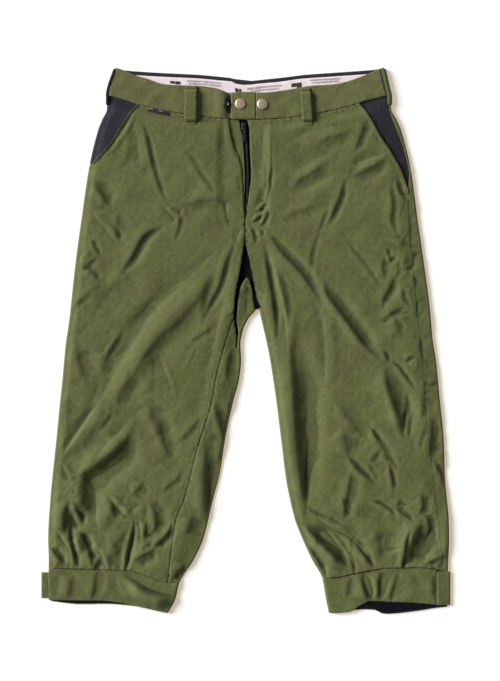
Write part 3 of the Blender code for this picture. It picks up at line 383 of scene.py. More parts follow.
# %% Folds of the right thigh
# One broad ray runs from the crotch to the knee, with a shaded side.
THIGH_RIGHT = (
    (-0.41, 7.7, (-12, 153), (-35, 131), (-57, 111), (-78, 90), (-103, 65), (-131, 37), (-151, 5),
     (-173, -29), (-194, -65), (-215, -99), (-235, -127), (-252, -149)),
    (0.33, 7, (-28, 111), (-54, 75), (-70, 54), (-95, 27), (-120, 5), (-137, -15), (-151, -36),
     (-163, -58), (-173, -79), (-182, -92)),
    (0.85, 2, (-13, 152), (-21, 128), (-28, 111), (-37, 79), (-46, 61), (-56, 41), (-66, 23)),
    (-0.33, 4.5, (-8, 135), (-16, 103), (-26, 69), (-35, 37), (-44, -5), (-54, -43), (-60, -75)),
    (0.33, 5.6, (-47, 100), (-57, 72), (-60, 44), (-64, 19)),
    (0.18, 5.6, (-113, 68), (-134, 58), (-148, 41), (-166, 27), (-180, 16)),
    (-0.26, 1.8, (-176, 18), (-190, -2), (-200, -15), (-214, -25)),
    (0.42, 1.8, (-169, 20), (-183, -1), (-190, -12), (-196, -28)),
    (0.26, 3.9, (-190, -12), (-198, -33), (-200, -54)),
    (-0.22, 2.2, (-195, -18), (-200, -43), (-207, -65), (-214, -89), (-228, -114)),
    (0.37, 5.6, (-235, 2), (-236, -15), (-232, -33), (-226, -51), (-225, -65)),
    (0.29, 5.6, (-243, -71), (-252, -85), (-256, -110), (-259, -138)),
    (0.38, 2, (-42, 24), (-63, 10), (-81, 0)),
    (-0.22, 1.6, (-125, -7), (-112, -43), (-103, -68), (-97, -94)),
    (0.18, 7, (-134, -12), (-131, -40), (-134, -68), (-137, -85)),
    (-0.14, 8.4, (-33, 9), (-43, -33), (-56, -75), (-67, -117), (-78, -159)),
    (0.53, 3.9, (-19, -5), (-25, -33), (-28, -61)),
    (0.61, 3.9, (-46, -82), (-40, -103), (-35, -121), (-30, -145)),
    (0.64, 2.2, (-13, -49), (-22, -82), (-28, -117), (-35, -152), (-42, -187), (-48, -220)),
)
print("right thigh:", len(THIGH_RIGHT))

# %% Folds of the right knee
# A ridge runs to the outer edge, with a deep hollow under it, and pleats stand at the cuff.
KNEE_RIGHT = (
    (-0.62, 3.9, (-198, -74), (-212, -95), (-229, -120), (-246, -144), (-263, -166)),
    (-0.54, 1.6, (-205, -82), (-224, -110), (-240, -134), (-254, -155), (-266, -172)),
    (0.42, 1.6, (-186, -95), (-197, -112), (-210, -128)),
    (0.32, 5.6, (-161, -33), (-168, -58), (-177, -78), (-182, -99)),
    (-0.39, 3.9, (-155, -100), (-170, -120), (-187, -138), (-200, -152), (-215, -169)),
    (0.32, 5.6, (-137, -79), (-133, -99), (-126, -121), (-116, -147)),
    (0.85, 7.8, (-156, -119), (-170, -142), (-187, -159), (-205, -173), (-222, -183),
     (-246, -191)),
    (0.5, 2, (-250, -186), (-243, -197), (-235, -211)),
    (0.65, 7.8, (-226, -169), (-226, -197), (-228, -228), (-232, -264)),
    (-0.54, 1.8, (-261, -163), (-252, -183), (-243, -198), (-238, -208), (-244, -222)),
    (-0.21, 5.6, (-266, -169), (-268, -194), (-270, -222), (-268, -250)),
    (0.9, 6.2, (-246, -218), (-252, -236), (-254, -256), (-253, -278)),
    (1.25, 2, (-247, -250), (-247, -266), (-245, -280), (-242, -294), (-238, -310), (-233, -327)),
    (-0.55, 1.6, (-246, -262), (-240, -285), (-235, -311)),
    (0.95, 2.1, (-245, -221), (-238, -233), (-232, -246), (-226, -261)),
    (-0.42, 1.6, (-245, -234), (-239, -250), (-231, -268)),
    (0.95, 2.4, (-238, -261), (-229, -275), (-221, -291), (-217, -303), (-215, -323)),
    (0.5, 4.8, (-239, -267), (-232, -282), (-225, -299)),
    (-0.48, 1.6, (-267, -260), (-254, -280), (-246, -292), (-241, -311)),
    (0.8, 2.2, (-277, -287), (-266, -299), (-259, -306), (-252, -315)),
    (-0.36, 2.2, (-226, -262), (-217, -282), (-211, -306)),
    (0.95, 2.2, (-205, -298), (-208, -308), (-211, -315), (-214, -327)),
    (-0.55, 1.6, (-214, -281), (-204, -295), (-198, -308), (-191, -328)),
    (-0.41, 4.5, (-208, -194), (-210, -222), (-208, -250), (-205, -278)),
    (-0.55, 2, (-193, -214), (-179, -232), (-168, -243), (-153, -249)),
    (0.5, 3.9, (-189, -222), (-186, -236), (-182, -252)),
    (-0.38, 3.9, (-142, -226), (-152, -233), (-163, -242)),
    (1.7, 1.6, (-160, -243), (-158, -256), (-160, -270), (-163, -284), (-166, -296), (-168, -309),
     (-170, -320), (-173, -337)),
    (0.44, 6.3, (-162, -261), (-177, -278), (-194, -295)),
    (0.37, 5.6, (-173, -289), (-187, -299), (-198, -308)),
    (-0.55, 1.6, (-152, -244), (-147, -264), (-147, -289)),
    (0.72, 2.5, (-141, -248), (-140, -263), (-146, -279)),
    (0.7, 4.2, (-140, -221), (-131, -232), (-126, -246), (-127, -260), (-135, -270), (-147, -277)),
    (1.1, 2.4, (-102, -250), (-107, -264), (-114, -274), (-123, -282), (-133, -291)),
    (0.62, 3.9, (-123, -287), (-134, -294), (-148, -301), (-161, -309)),
    (0.48, 2, (-129, -277), (-140, -285), (-151, -294)),
    (0.9, 2.8, (-106, -334), (-95, -323), (-82, -310)),
    (0.44, 3.9, (-141, -194), (-151, -207), (-163, -217)),
    (0.4, 5.6, (-75, -239), (-78, -257), (-86, -275)),
    (0.38, 4.4, (-128, -99), (-120, -124), (-113, -148), (-102, -175)),
    (0.4, 2.2, (-58, -98), (-78, -124), (-100, -146)),
    (0.42, 2.2, (-87, -173), (-96, -191), (-109, -203), (-120, -216)),
    (0.72, 6.7, (-57, -133), (-56, -169), (-56, -208), (-56, -243), (-60, -267)),
    (-0.46, 1.7, (-49, -186), (-47, -211), (-50, -234)),
)
print("right knee:", len(KNEE_RIGHT))

# %% Folds of the left seat
# Rays run from the pocket towards the fly, and short creases gather along the side seam.
SEAT_LEFT = (
    (0.28, 3.9, (149, 296), (132, 289), (111, 283), (97, 275)),
    (0.39, 4.5, (125, 258), (111, 250), (93, 236), (76, 226), (66, 212), (59, 202)),
    (0.45, 3.9, (199, 261), (182, 247), (164, 238), (145, 229)),
    (0.84, 2.2, (144, 235), (136, 220), (132, 203), (124, 184), (117, 170), (105, 152)),
    (-0.25, 3.9, (205, 268), (185, 259), (163, 252), (143, 243)),
    (-0.17, 5.6, (132, 271), (107, 258), (83, 244), (62, 229)),
    (-0.2, 4.5, (139, 240), (111, 226), (87, 212), (70, 198)),
    (0.21, 3.9, (111, 194), (87, 187), (62, 178), (42, 170)),
    (0.53, 1.8, (117, 194), (108, 173), (99, 149)),
    (0.38, 1.8, (105, 159), (94, 135), (90, 111), (86, 86)),
    (0.53, 2.5, (169, 316), (163, 293), (157, 278), (150, 259)),
    (-0.14, 5.6, (153, 307), (118, 299), (83, 289), (55, 279)),
    (-0.25, 4.5, (24, 299), (24, 268), (23, 240), (20, 212)),
    (0.8, 1.3, (36, 252), (35, 240), (33, 227), (33, 215), (31, 202)),
    (1.45, 1.4, (31, 198), (26, 191), (19, 184), (11, 179)),
    (1.3, 1.4, (25, 180), (17, 173), (7, 166)),
    (1.1, 1.4, (29, 188), (29, 178), (26, 170), (22, 164), (16, 161)),
    (0.7, 1.5, (5, 163), (8, 154), (11, 145), (13, 132)),
    (0.6, 1.4, (19, 159), (21, 152), (23, 143)),
    (-0.55, 2, (-3, 163), (-9, 150), (-15, 133)),
    (-0.42, 1.6, (32, 190), (17, 180), (3, 168)),
    (0.36, 2.2, (23, 252), (27, 226), (22, 204)),
    (0.42, 2.5, (21, 217), (16, 198), (10, 184)),
    (0.54, 2, (209, 231), (215, 209), (226, 192)),
    (0.54, 2.2, (205, 235), (203, 209), (205, 187), (203, 170), (208, 153), (217, 133)),
    (0.32, 5.6, (222, 147), (219, 136), (217, 126)),
    (0.6, 1.4, (195, 135), (198, 124), (201, 115), (203, 105)),
    (0.6, 1.6, (212, 126), (203, 115), (199, 107)),
    (0.48, 2.2, (195, 124), (191, 108), (192, 97), (195, 81)),
    (0.54, 2, (213, 116), (212, 100), (209, 85)),
    (0.48, 1.6, (233, 133), (234, 115), (230, 105), (215, 102)),
    (0.54, 1.6, (233, 96), (238, 74)),
    (0.48, 1.6, (219, 80), (219, 62), (223, 54), (232, 43)),
    (0.4, 2, (223, 52), (209, 42), (196, 34), (178, 24)),
    (0.36, 2.5, (207, 38), (210, 23), (220, 8)),
    (0.42, 1.6, (238, 60), (238, 41), (241, 25)),
    (0.54, 1.6, (244, 10), (243, -7), (245, -18), (248, -31)),
    (0.48, 1.6, (188, -10), (196, -22), (201, -34)),
    (0.36, 1.7, (250, -46), (250, -68), (246, -87)),
    (0.42, 1.6, (250, -61), (262, -58), (272, -51)),
    (0.72, 2.5, (210, 96), (202, 77), (198, 68), (192, 58), (188, 42)),
    (-0.28, 3.2, (222, 121), (213, 103), (203, 86)),
    (0.22, 1.6, (132, 146), (150, 125), (167, 104), (181, 83), (194, 64)),
    (0.33, 3.2, (233, 125), (223, 111), (219, 93)),
    (0.26, 3.9, (227, 58), (213, 47), (202, 38), (219, 33), (233, 16)),
    (0.25, 1.7, (225, 186), (229, 167), (229, 149), (231, 123)),
)
print("left seat:", len(SEAT_LEFT))

# %% Folds of the left thigh
# Rays run down from the crotch, and a deep valley lies beside the inseam.
THIGH_LEFT = (
    (1.4, 1.7, (2, 86), (2, 73), (3, 61)),
    (0.66, 3.1, (28, 160), (35, 145), (44, 131), (56, 117), (70, 103), (84, 86), (94, 70),
     (101, 56), (105, 45)),
    (0.7, 4.5, (104, 98), (108, 83), (115, 63), (126, 48), (140, 30), (152, 13), (163, -2),
     (177, -18), (189, -29), (196, -37)),
    (-0.33, 3.9, (94, 72), (100, 51), (107, 30), (110, 9), (112, -15), (111, -47), (107, -82)),
    (-0.47, 3.2, (26, 146), (35, 117), (42, 86), (49, 58), (55, 30), (58, -5), (59, -47)),
    (0.84, 2, (22, 147), (28, 111), (34, 79), (38, 51), (41, 23), (42, -10)),
    (0.64, 2.2, (40, 116), (47, 86), (54, 61), (58, 37), (62, 11)),
    (0.8, 9.2, (58, 33), (63, -15), (68, -54), (70, -89), (72, -124), (75, -159), (77, -194),
     (80, -229), (83, -261)),
    (0.85, 2.2, (89, -119), (87, -149), (83, -173), (80, -194), (82, -222), (84, -248)),
    (-0.35, 5.6, (94, -61), (96, -96), (96, -131), (94, -159), (91, -194), (90, -229)),
    (0.73, 6.7, (194, -26), (196, -51), (202, -75), (210, -96), (217, -121), (220, -145)),
    (0.46, 1.6, (198, -25), (212, -37), (222, -50), (230, -61), (240, -75)),
    (0.6, 1.6, (221, -63), (224, -82), (224, -95), (220, -107), (220, -135)),
    (0.48, 1.6, (230, -102), (226, -120), (227, -138)),
    (0.42, 1.6, (172, -120), (181, -133), (192, -144)),
    (-0.36, 1.6, (227, -91), (223, -117), (222, -143)),
    (-0.25, 3.9, (188, -47), (195, -82), (205, -117), (213, -145)),
    (0.22, 5.6, (121, -79), (135, -98), (149, -116), (163, -133), (177, -148)),
    (0.4, 2.2, (164, -110), (181, -134), (192, -151), (199, -169), (204, -194)),
    (0.66, 3.2, (266, -96), (261, -117), (259, -138), (258, -159), (261, -175)),
    (0.6, 1.6, (241, -20), (229, -22), (219, -32)),
    (0.35, 3.9, (244, -75), (248, -89), (245, -110)),
)
print("left thigh:", len(THIGH_LEFT))

# %% Folds of the left knee
# Short pleats stand above the cuff, the deepest at its outer third.
KNEE_LEFT = (
    (0.32, 7, (132, -116), (139, -141), (146, -166)),
    (0.53, 3.9, (149, -175), (146, -191), (143, -211), (139, -229), (138, -242)),
    (0.58, 2.2, (139, -157), (152, -175), (164, -187), (186, -206)),
    (0.42, 1.7, (192, -145), (181, -159), (172, -173)),
    (0.75, 1.8, (199, -169), (202, -183), (205, -198), (206, -214)),
    (0.36, 1.6, (200, -158), (206, -175), (212, -187)),
    (0.36, 1.6, (168, -169), (177, -186), (184, -202)),
    (0.36, 1.6, (253, -112), (245, -135), (243, -148), (251, -160)),
    (0.44, 3.2, (215, -218), (213, -228), (208, -233)),
    (0.75, 2.8, (243, -211), (247, -224), (247, -233), (240, -245)),
    (0.84, 2, (263, -164), (269, -180), (275, -191), (276, -210)),
    (1, 2.2, (276, -214), (282, -236), (284, -261), (283, -285), (280, -306), (278, -327)),
    (0.8, 2, (278, -292), (272, -308), (268, -320)),
    (0.6, 2.5, (131, -214), (139, -233), (135, -251)),
    (0.36, 2, (78, -229), (101, -246), (121, -256), (145, -262)),
    (0.6, 1.7, (172, -223), (194, -233), (214, -249)),
    (0.48, 2, (204, -233), (222, -245), (237, -257)),
    (-0.48, 2.2, (94, -242), (117, -259), (135, -268), (153, -277)),
    (0.95, 4.5, (76, -253), (93, -270), (105, -282), (119, -295), (133, -308), (152, -324)),
    (-0.26, 5.6, (91, -285), (107, -303), (124, -322)),
    (0.9, 1.8, (82, -281), (93, -296), (101, -308), (107, -320), (114, -337)),
    (0.6, 1.6, (112, -259), (129, -278), (139, -291), (145, -303), (149, -317), (155, -342)),
    (0.85, 2.1, (136, -273), (149, -280), (160, -292), (168, -303), (181, -323)),
    (-0.55, 1.6, (141, -271), (159, -289), (177, -307)),
    (0.48, 1.7, (146, -272), (146, -300)),
    (0.32, 7, (182, -257), (185, -278), (187, -296), (192, -310)),
    (1.5, 1.8, (229, -259), (224, -278), (222, -294), (219, -309), (216, -331)),
    (1, 7.7, (250, -242), (243, -261), (234, -280), (227, -298), (220, -320)),
    (0.7, 1.8, (234, -288), (229, -301), (222, -317)),
    (-0.48, 1.6, (230, -266), (224, -288), (219, -311)),
    (0.95, 2.5, (245, -240), (254, -249), (257, -261), (254, -273), (244, -282)),
    (0.48, 2.2, (261, -282), (240, -293)),
    (0.75, 2.1, (276, -299), (264, -305), (248, -313)),
    (0.48, 1.6, (270, -313), (253, -322)),
    (-0.17, 7, (146, -243), (177, -250), (205, -264)),
)
print("left knee:", len(KNEE_LEFT))

# %% Seams that pull, and the hidden back
FOLDS = SEAT_RIGHT + THIGH_RIGHT + KNEE_RIGHT + SEAT_LEFT + THIGH_LEFT + KNEE_LEFT
# Seams that pull the front down. Columns: half width, height, then the path
SEAM_FOLDS = (
    (1.5, -0.5, (36.5, 309), (36.3, 262), (35.5, 238), (33.5, 214), (28, 193), (16, 180), (6, 172)),
)
# Dents of the hidden back, away from the table. Columns: half width, height, then the path
BACK_FOLDS = (
    (7, 1.3, (-30, 60), (-80, 15), (-140, -20), (-190, -70)),
    (6, 1.1, (-40, 110), (-95, 80), (-160, 62)),
    (6, 1.2, (-225, -120), (-180, -160), (-120, -175)),
    (5, 1.0, (-200, -40), (-215, -95), (-205, -140)),
    (5, 1.2, (-230, -300), (-222, -262), (-235, -225)),
    (4, 1.1, (-190, -303), (-184, -270), (-196, -240)),
    (5, 1.2, (-145, -305), (-152, -262), (-140, -228)),
    (6, 0.9, (-110, -60), (-95, -120), (-105, -180)),
    (7, 1.3, (40, 50), (85, 0), (120, -70), (135, -140)),
    (6, 1.1, (60, 115), (120, 85), (180, 75)),
    (6, 1.2, (235, -130), (190, -165), (140, -178)),
    (5, 1.0, (215, -30), (228, -90), (214, -150)),
    (5, 1.2, (160, -305), (152, -268), (166, -232)),
    (4, 1.1, (205, -305), (212, -272), (200, -244)),
    (5, 1.2, (245, -300), (238, -262), (250, -226)),
    (6, 0.8, (-20, 200), (-90, 215), (-150, 240)),
    (6, 0.8, (25, 190), (95, 210), (160, 235)),
)
print("folds of the front:", len(FOLDS), "dents of the back:", len(BACK_FOLDS))

# %% Height maps of the cloth
CELL = 0.75
MAP_X, MAP_Y = np.arange(-300, 300.1, CELL), np.arange(-400, 400.1, CELL)
GRID_X, GRID_Y = np.meshgrid(MAP_X, MAP_Y)


def smooth_path(points, step=5.0):
    """The same path with a rounded course, as a list of points about step apart."""
    p = np.array(points, dtype=float)
    p = np.vstack((2 * p[0] - p[1], p, 2 * p[-1] - p[-2]))
    out = []
    for a, b, c, d in zip(p[:-3], p[1:-2], p[2:-1], p[3:]):
        count = max(2, int(np.linalg.norm(c - b) / step))
        for t in np.arange(count) / count:
            out.append(0.5 * (2 * b + (c - a) * t + (2 * a - 5 * b + 4 * c - d) * t * t
                              + (3 * b - a - 3 * c + d) * t ** 3))
    return np.array(out + [p[-2]])


def near_path(path, reach, step=5.0):
    """The window around a path. In it: distance, distance on the light's side, and how far
    along. Last, how squarely the path's sides face the light, and its length."""
    line = smooth_path(path, step)
    low, high = line.min(axis=0) - reach, line.max(axis=0) + reach
    cols = slice(max(0, int((low[0] - MAP_X[0]) / CELL)), int((high[0] - MAP_X[0]) / CELL) + 1)
    rows = slice(max(0, int((low[1] - MAP_Y[0]) / CELL)), int((high[1] - MAP_Y[0]) / CELL) + 1)
    x, y = GRID_X[rows, cols], GRID_Y[rows, cols]
    best, side, along = np.full(x.shape, 1e9), np.zeros(x.shape), np.zeros(x.shape)
    chord = line[-1] - line[0]
    square = (chord[0] * KEY_FROM[1] - chord[1] * KEY_FROM[0]) / np.linalg.norm(chord)
    start = 0.0
    for (ax, ay), (bx, by) in zip(line[:-1], line[1:]):
        length = math.hypot(bx - ax, by - ay)
        dx, dy = (bx - ax) / length, (by - ay) / length
        t = np.clip((x - ax) * dx + (y - ay) * dy, 0.0, length)
        away = np.hypot(x - ax - t * dx, y - ay - t * dy)
        closer = away < best
        best = np.where(closer, away, best)
        side = np.where(closer, math.copysign(1.0, square) * ((y - ay) * dx - (x - ax) * dy), side)
        along = np.where(closer, start + t, along)
        start += length
    return (rows, cols), best, side, along, abs(square), start


print("height maps:", GRID_X.shape, "cells of", CELL, "mm")

# %% Folds and dents
END_PART, END_LENGTH = 0.36, 12.0      # a fold's end fades over this part of it, or this far
# A fold is a crisp crease with a softer slope behind it. The widths are parts of the half width.
# A narrow fold settles back slowly on its shaded side, so that only its crease catches the eye.
CREASE, CREASE_WIDTH, SHADE_WIDTH, SHADE_AFTER = 0.62, 0.5, 2.0, 0.7
NARROW, SETTLE_LIT, SETTLE_SHADED, SINK = 3.4, 3.4, 5.0, 0.2
SETTLE_WIDE, THIN_END = 3.2, 0.35      # a wide fold's slopes; a fold's width at its ends
# How far a fold is worked out, in half widths, and the steps along its path in millimetres
REACH, STEP = {"narrow": 8, "wide": 5.5}, {"narrow": 5.0, "wide": 1.5}


def fade(along, length):
    end = min(max(END_PART * length, END_LENGTH), 0.5 * length)
    return ease(along / end) * ease((length - along) / end)


def add_folds(height, folds, free):
    """Add tilted faces. The cloth steps down (or up) across each path and settles back."""
    for tilt, half_width, *path in folds:
        narrow = half_width < NARROW
        kind = "narrow" if narrow else "wide"
        at, best, side, along, square, length = near_path(path, REACH[kind] * half_width, STEP[kind])
        ends = fade(along, length)
        width = half_width * (THIN_END + (1 - THIN_END) * ends)
        signed = np.where(side < 0, -best, best) / width
        step = tilt * width / max(square, 0.5)
        crease = CREASE * CREASE_WIDTH * np.tanh(signed / CREASE_WIDTH)
        shade = (1.0 - CREASE) * SHADE_WIDTH * np.tanh((signed + SHADE_AFTER) / SHADE_WIDTH)
        settle = SETTLE_WIDE
        if narrow:
            settle = np.where(signed > -SHADE_AFTER, SETTLE_SHADED, SETTLE_LIT)
        window = np.exp(-np.abs((signed + SHADE_AFTER) / settle) ** 3)
        shape = step * (crease + shade - (SINK if narrow else 0.0)) * window
        height[at] += shape * ends * free[at]
    return height


def add_dents(height, dents, free):
    """Add plain round troughs or ridges."""
    for half_width, high, *path in dents:
        at, best, _, along, _, length = near_path(path, 2.5 * half_width)
        height[at] += high * np.exp(-(best / half_width) ** 2) * fade(along, length) * free[at]
    return height


print("worked out over", REACH, "half widths, in steps of", STEP, "mm")

# %% Small creases and waves
CRINKLES, SIDE_CRINKLES = 700, 90      # how many small random creases


def small_crease(draw, middle, turn, half, bow, widths, heights):
    """A row for add_dents: one short bowed crease about a middle point."""
    along = np.array((math.cos(turn), math.sin(turn))) * half
    aside = np.array((-along[1], along[0])) * draw.uniform(-bow, bow)
    path = (middle - along, middle + aside, middle + along)
    return (draw.uniform(*widths), draw.choice((-1, 1)) * draw.uniform(*heights), *path)


def crinkles(seed, count):
    """Small creases at random places, mostly along the pull from the crotch to the knee."""
    draw = np.random.default_rng(seed)
    for _ in range(count):
        middle = np.array((draw.uniform(-290, 290), draw.uniform(-330, 330)))
        turn = math.radians((50 if middle[0] < 0 else 122) + draw.normal(0, 24))
        yield small_crease(draw, middle, turn, draw.uniform(5, 20), 0.32, (1.3, 2.8), (0.06, 0.24))


def side_crinkles(seed, count):
    """Short sharp creases that gather along the left leg's side seam."""
    draw = np.random.default_rng(seed)
    for _ in range(count):
        y = draw.uniform(-200, 230)
        middle = np.array((float(LEFT.outer(y)) - abs(draw.normal(9, 12)), y))
        turn = math.radians(draw.choice((62, 115)) + draw.normal(0, 14))
        yield small_crease(draw, middle, turn, draw.uniform(6, 17), 0.3, (1.1, 1.6), (0.15, 0.42))


def waves(seed, count, shortest, longest, tall):
    """Gentle unevenness: many faint waves in random directions."""
    draw = np.random.default_rng(seed)
    total = np.zeros_like(GRID_X)
    for _ in range(count):
        turn, phase = draw.uniform(0, math.pi), draw.uniform(0, 2 * math.pi)
        k = 2 * math.pi / draw.uniform(shortest, longest)
        total += np.sin(k * (GRID_X * math.cos(turn) + GRID_Y * math.sin(turn)) + phase)
    return total * tall / math.sqrt(count / 2)


def reader(height):
    """A function of x and y that reads a height map."""
    def read(x, y):
        gx = np.clip((x - MAP_X[0]) / CELL, 0, len(MAP_X) - 1.001)
        gy = np.clip((y - MAP_Y[0]) / CELL, 0, len(MAP_Y) - 1.001)
        i, j = gx.astype(int), gy.astype(int)
        u, v = gx - i, gy - j
        lower = height[j, i] * (1 - u) + height[j, i + 1] * u
        upper = height[j + 1, i] * (1 - u) + height[j + 1, i + 1] * u
        return lower * (1 - v) + upper * v
    return read


print("small creases:", CRINKLES, "and", SIDE_CRINKLES, "along the side seam")

# %% Put the front's map together
LOFT = 3.0                # how far the cloth stands up between a leg's edges
SOFT_STOP = 0.25          # how gently the cloth comes to rest on what lies under it
right_leg = GRID_X < 0
below_waist = front_waist(GRID_X) - GRID_Y
to_cuff = np.where(right_leg, GRID_Y - RIGHT.seam(GRID_X), GRID_Y - LEFT.seam(GRID_X))
fly = (1.0 - rise(np.abs(GRID_X + 4), 26, 14)) * rise(GRID_Y, 150, 20)
from_outer = np.where(right_leg, GRID_X - RIGHT.outer(GRID_Y), LEFT.outer(GRID_Y) - GRID_X)
from_inner = np.where(right_leg, RIGHT.inner(GRID_Y) - GRID_X, GRID_X - LEFT.inner(GRID_Y))
from_inner = from_inner + 60 * rise(GRID_Y, 60, 60)
free = rise(below_waist, 3, 16) * rise(to_cuff, -4, 7)

level = FRONT_LEVEL + (WAIST_LEVEL - FRONT_LEVEL) * (1.0 - rise(below_waist, 24, 40))
level = np.maximum(level, FRONT_LEVEL + (WAIST_LEVEL - FRONT_LEVEL) * fly)
level = level + (CUFF_LEVEL - FRONT_LEVEL) * (1.0 - rise(to_cuff, 6, 30))
lit_side = rise(np.where(right_leg, from_outer, from_inner), 0, 12)
far_side = rise(np.where(right_leg, from_inner, from_outer), 0, 36)
level = level + LOFT * lit_side * far_side * free * (1 - fly)
level = level + free * (0.3 + 0.7 * (1 - fly)) * (waves(3, 26, 26, 60, 0.22) + waves(5, 30, 9, 20, 0.06))
add_folds(level, FOLDS, free)
add_dents(level, crinkles(41, CRINKLES), free)
add_dents(level, side_crinkles(43, SIDE_CRINKLES), free)
add_dents(level, SEAM_FOLDS, np.ones_like(level))

over_gusset = (1.0 - rise(np.abs(GRID_X), 36, 14)) * (1.0 - rise(np.abs(GRID_Y - 75), 90, 20))
over_facing = rise(GRID_Y, 170, 30) * rise(np.abs(GRID_X), 90, 30)
over_zip = rise(GRID_X - zip_left(GRID_Y), -28, 5) * rise(zip_right(GRID_Y) - GRID_X, -4, 5)
over_zip = over_zip * rise(GRID_Y, 160, 12)
lowest = BACK_CLEAR + (GUSSET_CLEAR - BACK_CLEAR) * np.maximum(over_gusset, over_facing)
lowest = np.maximum(lowest, BACK_CLEAR + (FLY_CLEAR - BACK_CLEAR) * over_zip)
level = lowest + SOFT_STOP * np.logaddexp(0.0, (level - lowest) / SOFT_STOP)
front_height = reader(level)

under = np.zeros_like(level)
inside_leg = rise(from_outer, 16, 16) * rise(from_inner, 14, 16)
beside_fly = rise(np.abs(GRID_X), 40, 20)
beside_fly = beside_fly + (1 - beside_fly) * (GRID_Y < -20)
add_dents(under, BACK_FOLDS, free * inside_leg * beside_fly)
under = np.clip(np.minimum(under, level - CLOTH / 2 - CLOTH - 0.5), 0.0, None)
under_height = reader(under)


def facing_height(x, y):
    return front_height(x, y) - POCKET_DROP


def band_height(x, y):
    return WAIST_LEVEL + TAB_RISE * (1.0 - rise(np.abs(x + 3.0), 20, 40)) * (x > -21.5) + 0.0 * y


print("folds:", len(FOLDS), "front cloth from", round(float(level[free > 0.5].min()), 1),
      "to", round(float(level.max()), 1), "mm over the table")

# %% [markdown]
# ## Patches of the tube
# A patch is a grid of points in the middle of the cloth. Its columns run down the leg, each
# on one of the tube's four parts, and its rows run across. Columns and rows lie closer
# together beside a seam, where the cloth bends most.

# %% Points of a patch
TOP, FLOOR, OUTER, INNER = "top", "floor", "outer", "inner"
TURN_ANGLES = (-90, -67, -45, -22, 0, 22, 45, 67)


def edge_of(leg, kind, y, thickness):
    """The middle of the cloth at an edge, and the way from there into the leg."""
    if kind == OUTER:
        return leg.outer(y) + leg.inward * thickness / 2, leg.inward
    return leg.inner(y) - leg.inward * thickness / 2, -leg.inward


def place(leg, kind, value, y, height, thickness, dented):
    """A point of the tube: value is x on a run, and degrees (-90 floor, 90 top) in a turn."""
    floor = thickness / 2
    if kind == TOP:
        return np.stack((value, y, height(value, y)), axis=-1)
    if kind == FLOOR:
        z = floor + (under_height(value, y) if dented else 0.0) + 0.0 * y
        return np.stack((value, y, z), axis=-1)
    edge, into = edge_of(leg, kind, y, thickness)
    half = (height(edge + into * TURN, y) - floor) / 2
    angle = np.radians(value)
    x = edge + into * TURN * (1.0 - np.cos(angle))
    return np.stack((x, y, floor + half * (1.0 + np.sin(angle))), axis=-1)


def patch(leg, columns, rows, row_y, height, thickness, bend=None, dented=False):
    """Middle points [row][column]. A column is (kind, function of y, or angle)."""
    points = []
    for index, (kind, value) in enumerate(columns):
        y = SIDE_WAIST_Y + (CUFF_Y - SIDE_WAIST_Y) * rows
        for _ in range(8):          # x depends on y and y on x: repeat until they agree
            if kind in (TOP, FLOOR):
                x = value(y)
            else:
                edge, into = edge_of(leg, kind, y, thickness)
                x = edge + into * TURN * (1.0 - math.cos(math.radians(value)))
            y = row_y(rows, x, y, kind)
        here = value(y) if kind in (TOP, FLOOR) else np.full(len(rows), float(value))
        if bend:
            here, y = bend(index, here, y)
        points.append(place(leg, kind, here, y, height, thickness, dented))
    return np.stack(points, axis=1)


print("turn columns:", len(TURN_ANGLES))

# %% Columns and rows of a patch
def between(first, last, part):
    return lambda y: first(y) + part * (last(y) - first(y))


def fixed(x):
    return lambda y: 0 * y + x


CLOSE = (0.45, 1.1, 2.0)  # extra stations beside a seam


def run(kind, first, last, count, close_first=True, close_last=True):
    """Columns from one edge function to another, closer together beside a seam."""
    middle = -150.0                 # a height at which every panel is there
    way = math.copysign(1.0, float(last(np.array(middle)) - first(np.array(middle))))
    columns = [(kind, first)]
    if close_first:
        columns += [(kind, lambda y, d=d: first(y) + way * d) for d in CLOSE]
    start = columns[-1][1]
    end = (lambda y: last(y) - way * CLOSE[-1]) if close_last else last
    columns += [(kind, between(start, end, (i + 1) / count)) for i in range(count)]
    if close_last:
        columns += [(kind, lambda y, d=d: last(y) - way * d) for d in CLOSE[1::-1]]
        columns += [(kind, last)]
    return columns


def turn_line(leg, kind, thickness):
    """Where an edge's rounded turn meets the flat run, as a function of y."""
    def line(y):
        edge, into = edge_of(leg, kind, y, thickness)
        return edge + into * TURN
    return line


def upward(kind):
    """Columns round an edge, from the table up."""
    return [(kind, angle) for angle in TURN_ANGLES]


def downward(kind):
    return upward(kind)[::-1]


RIGHT_TURN, LEFT_TURN = turn_line(RIGHT, OUTER, CLOTH), turn_line(LEFT, OUTER, CLOTH)


def right_edge_columns():
    """Columns of cloth that comes round the right leg's outer edge from below."""
    under = run(FLOOR, lambda y: RIGHT.outer(y) + UNDER_WRAP, RIGHT_TURN, 3, close_last=False)
    return under[:-1] + upward(OUTER)


WAIST_FADE = 0.17         # the waist's curve fades out over this part of a front


def front_rows(leg):
    return lambda v, x, y, kind: leg.row(v, x, y, front_waist, WAIST_FADE)


def back_rows(leg):
    return lambda v, x, y, kind: leg.row(v, x, y, back_waist, leg.crotch)


def band_rows(top, bottom):
    return lambda v, x, y, kind: top(x) + v * (bottom(x) - top(x))


def cuff_rows(leg):
    def row_y(v, x, y, kind):
        hem = leg.back_hem(x) if kind == FLOOR else leg.hem(x)
        seam = leg.seam(x) - END_GAP / 2
        return seam + v * (hem - seam)
    return row_y


def close_rows(rows, length):
    """The same rows with a few more beside each end. length is the panel's, in millimetres."""
    near = np.array(CLOSE) / length
    return np.unique(np.concatenate((rows, rows[0] + near, rows[-1] - near)))


print("extra stations beside a seam:", CLOSE, "mm")

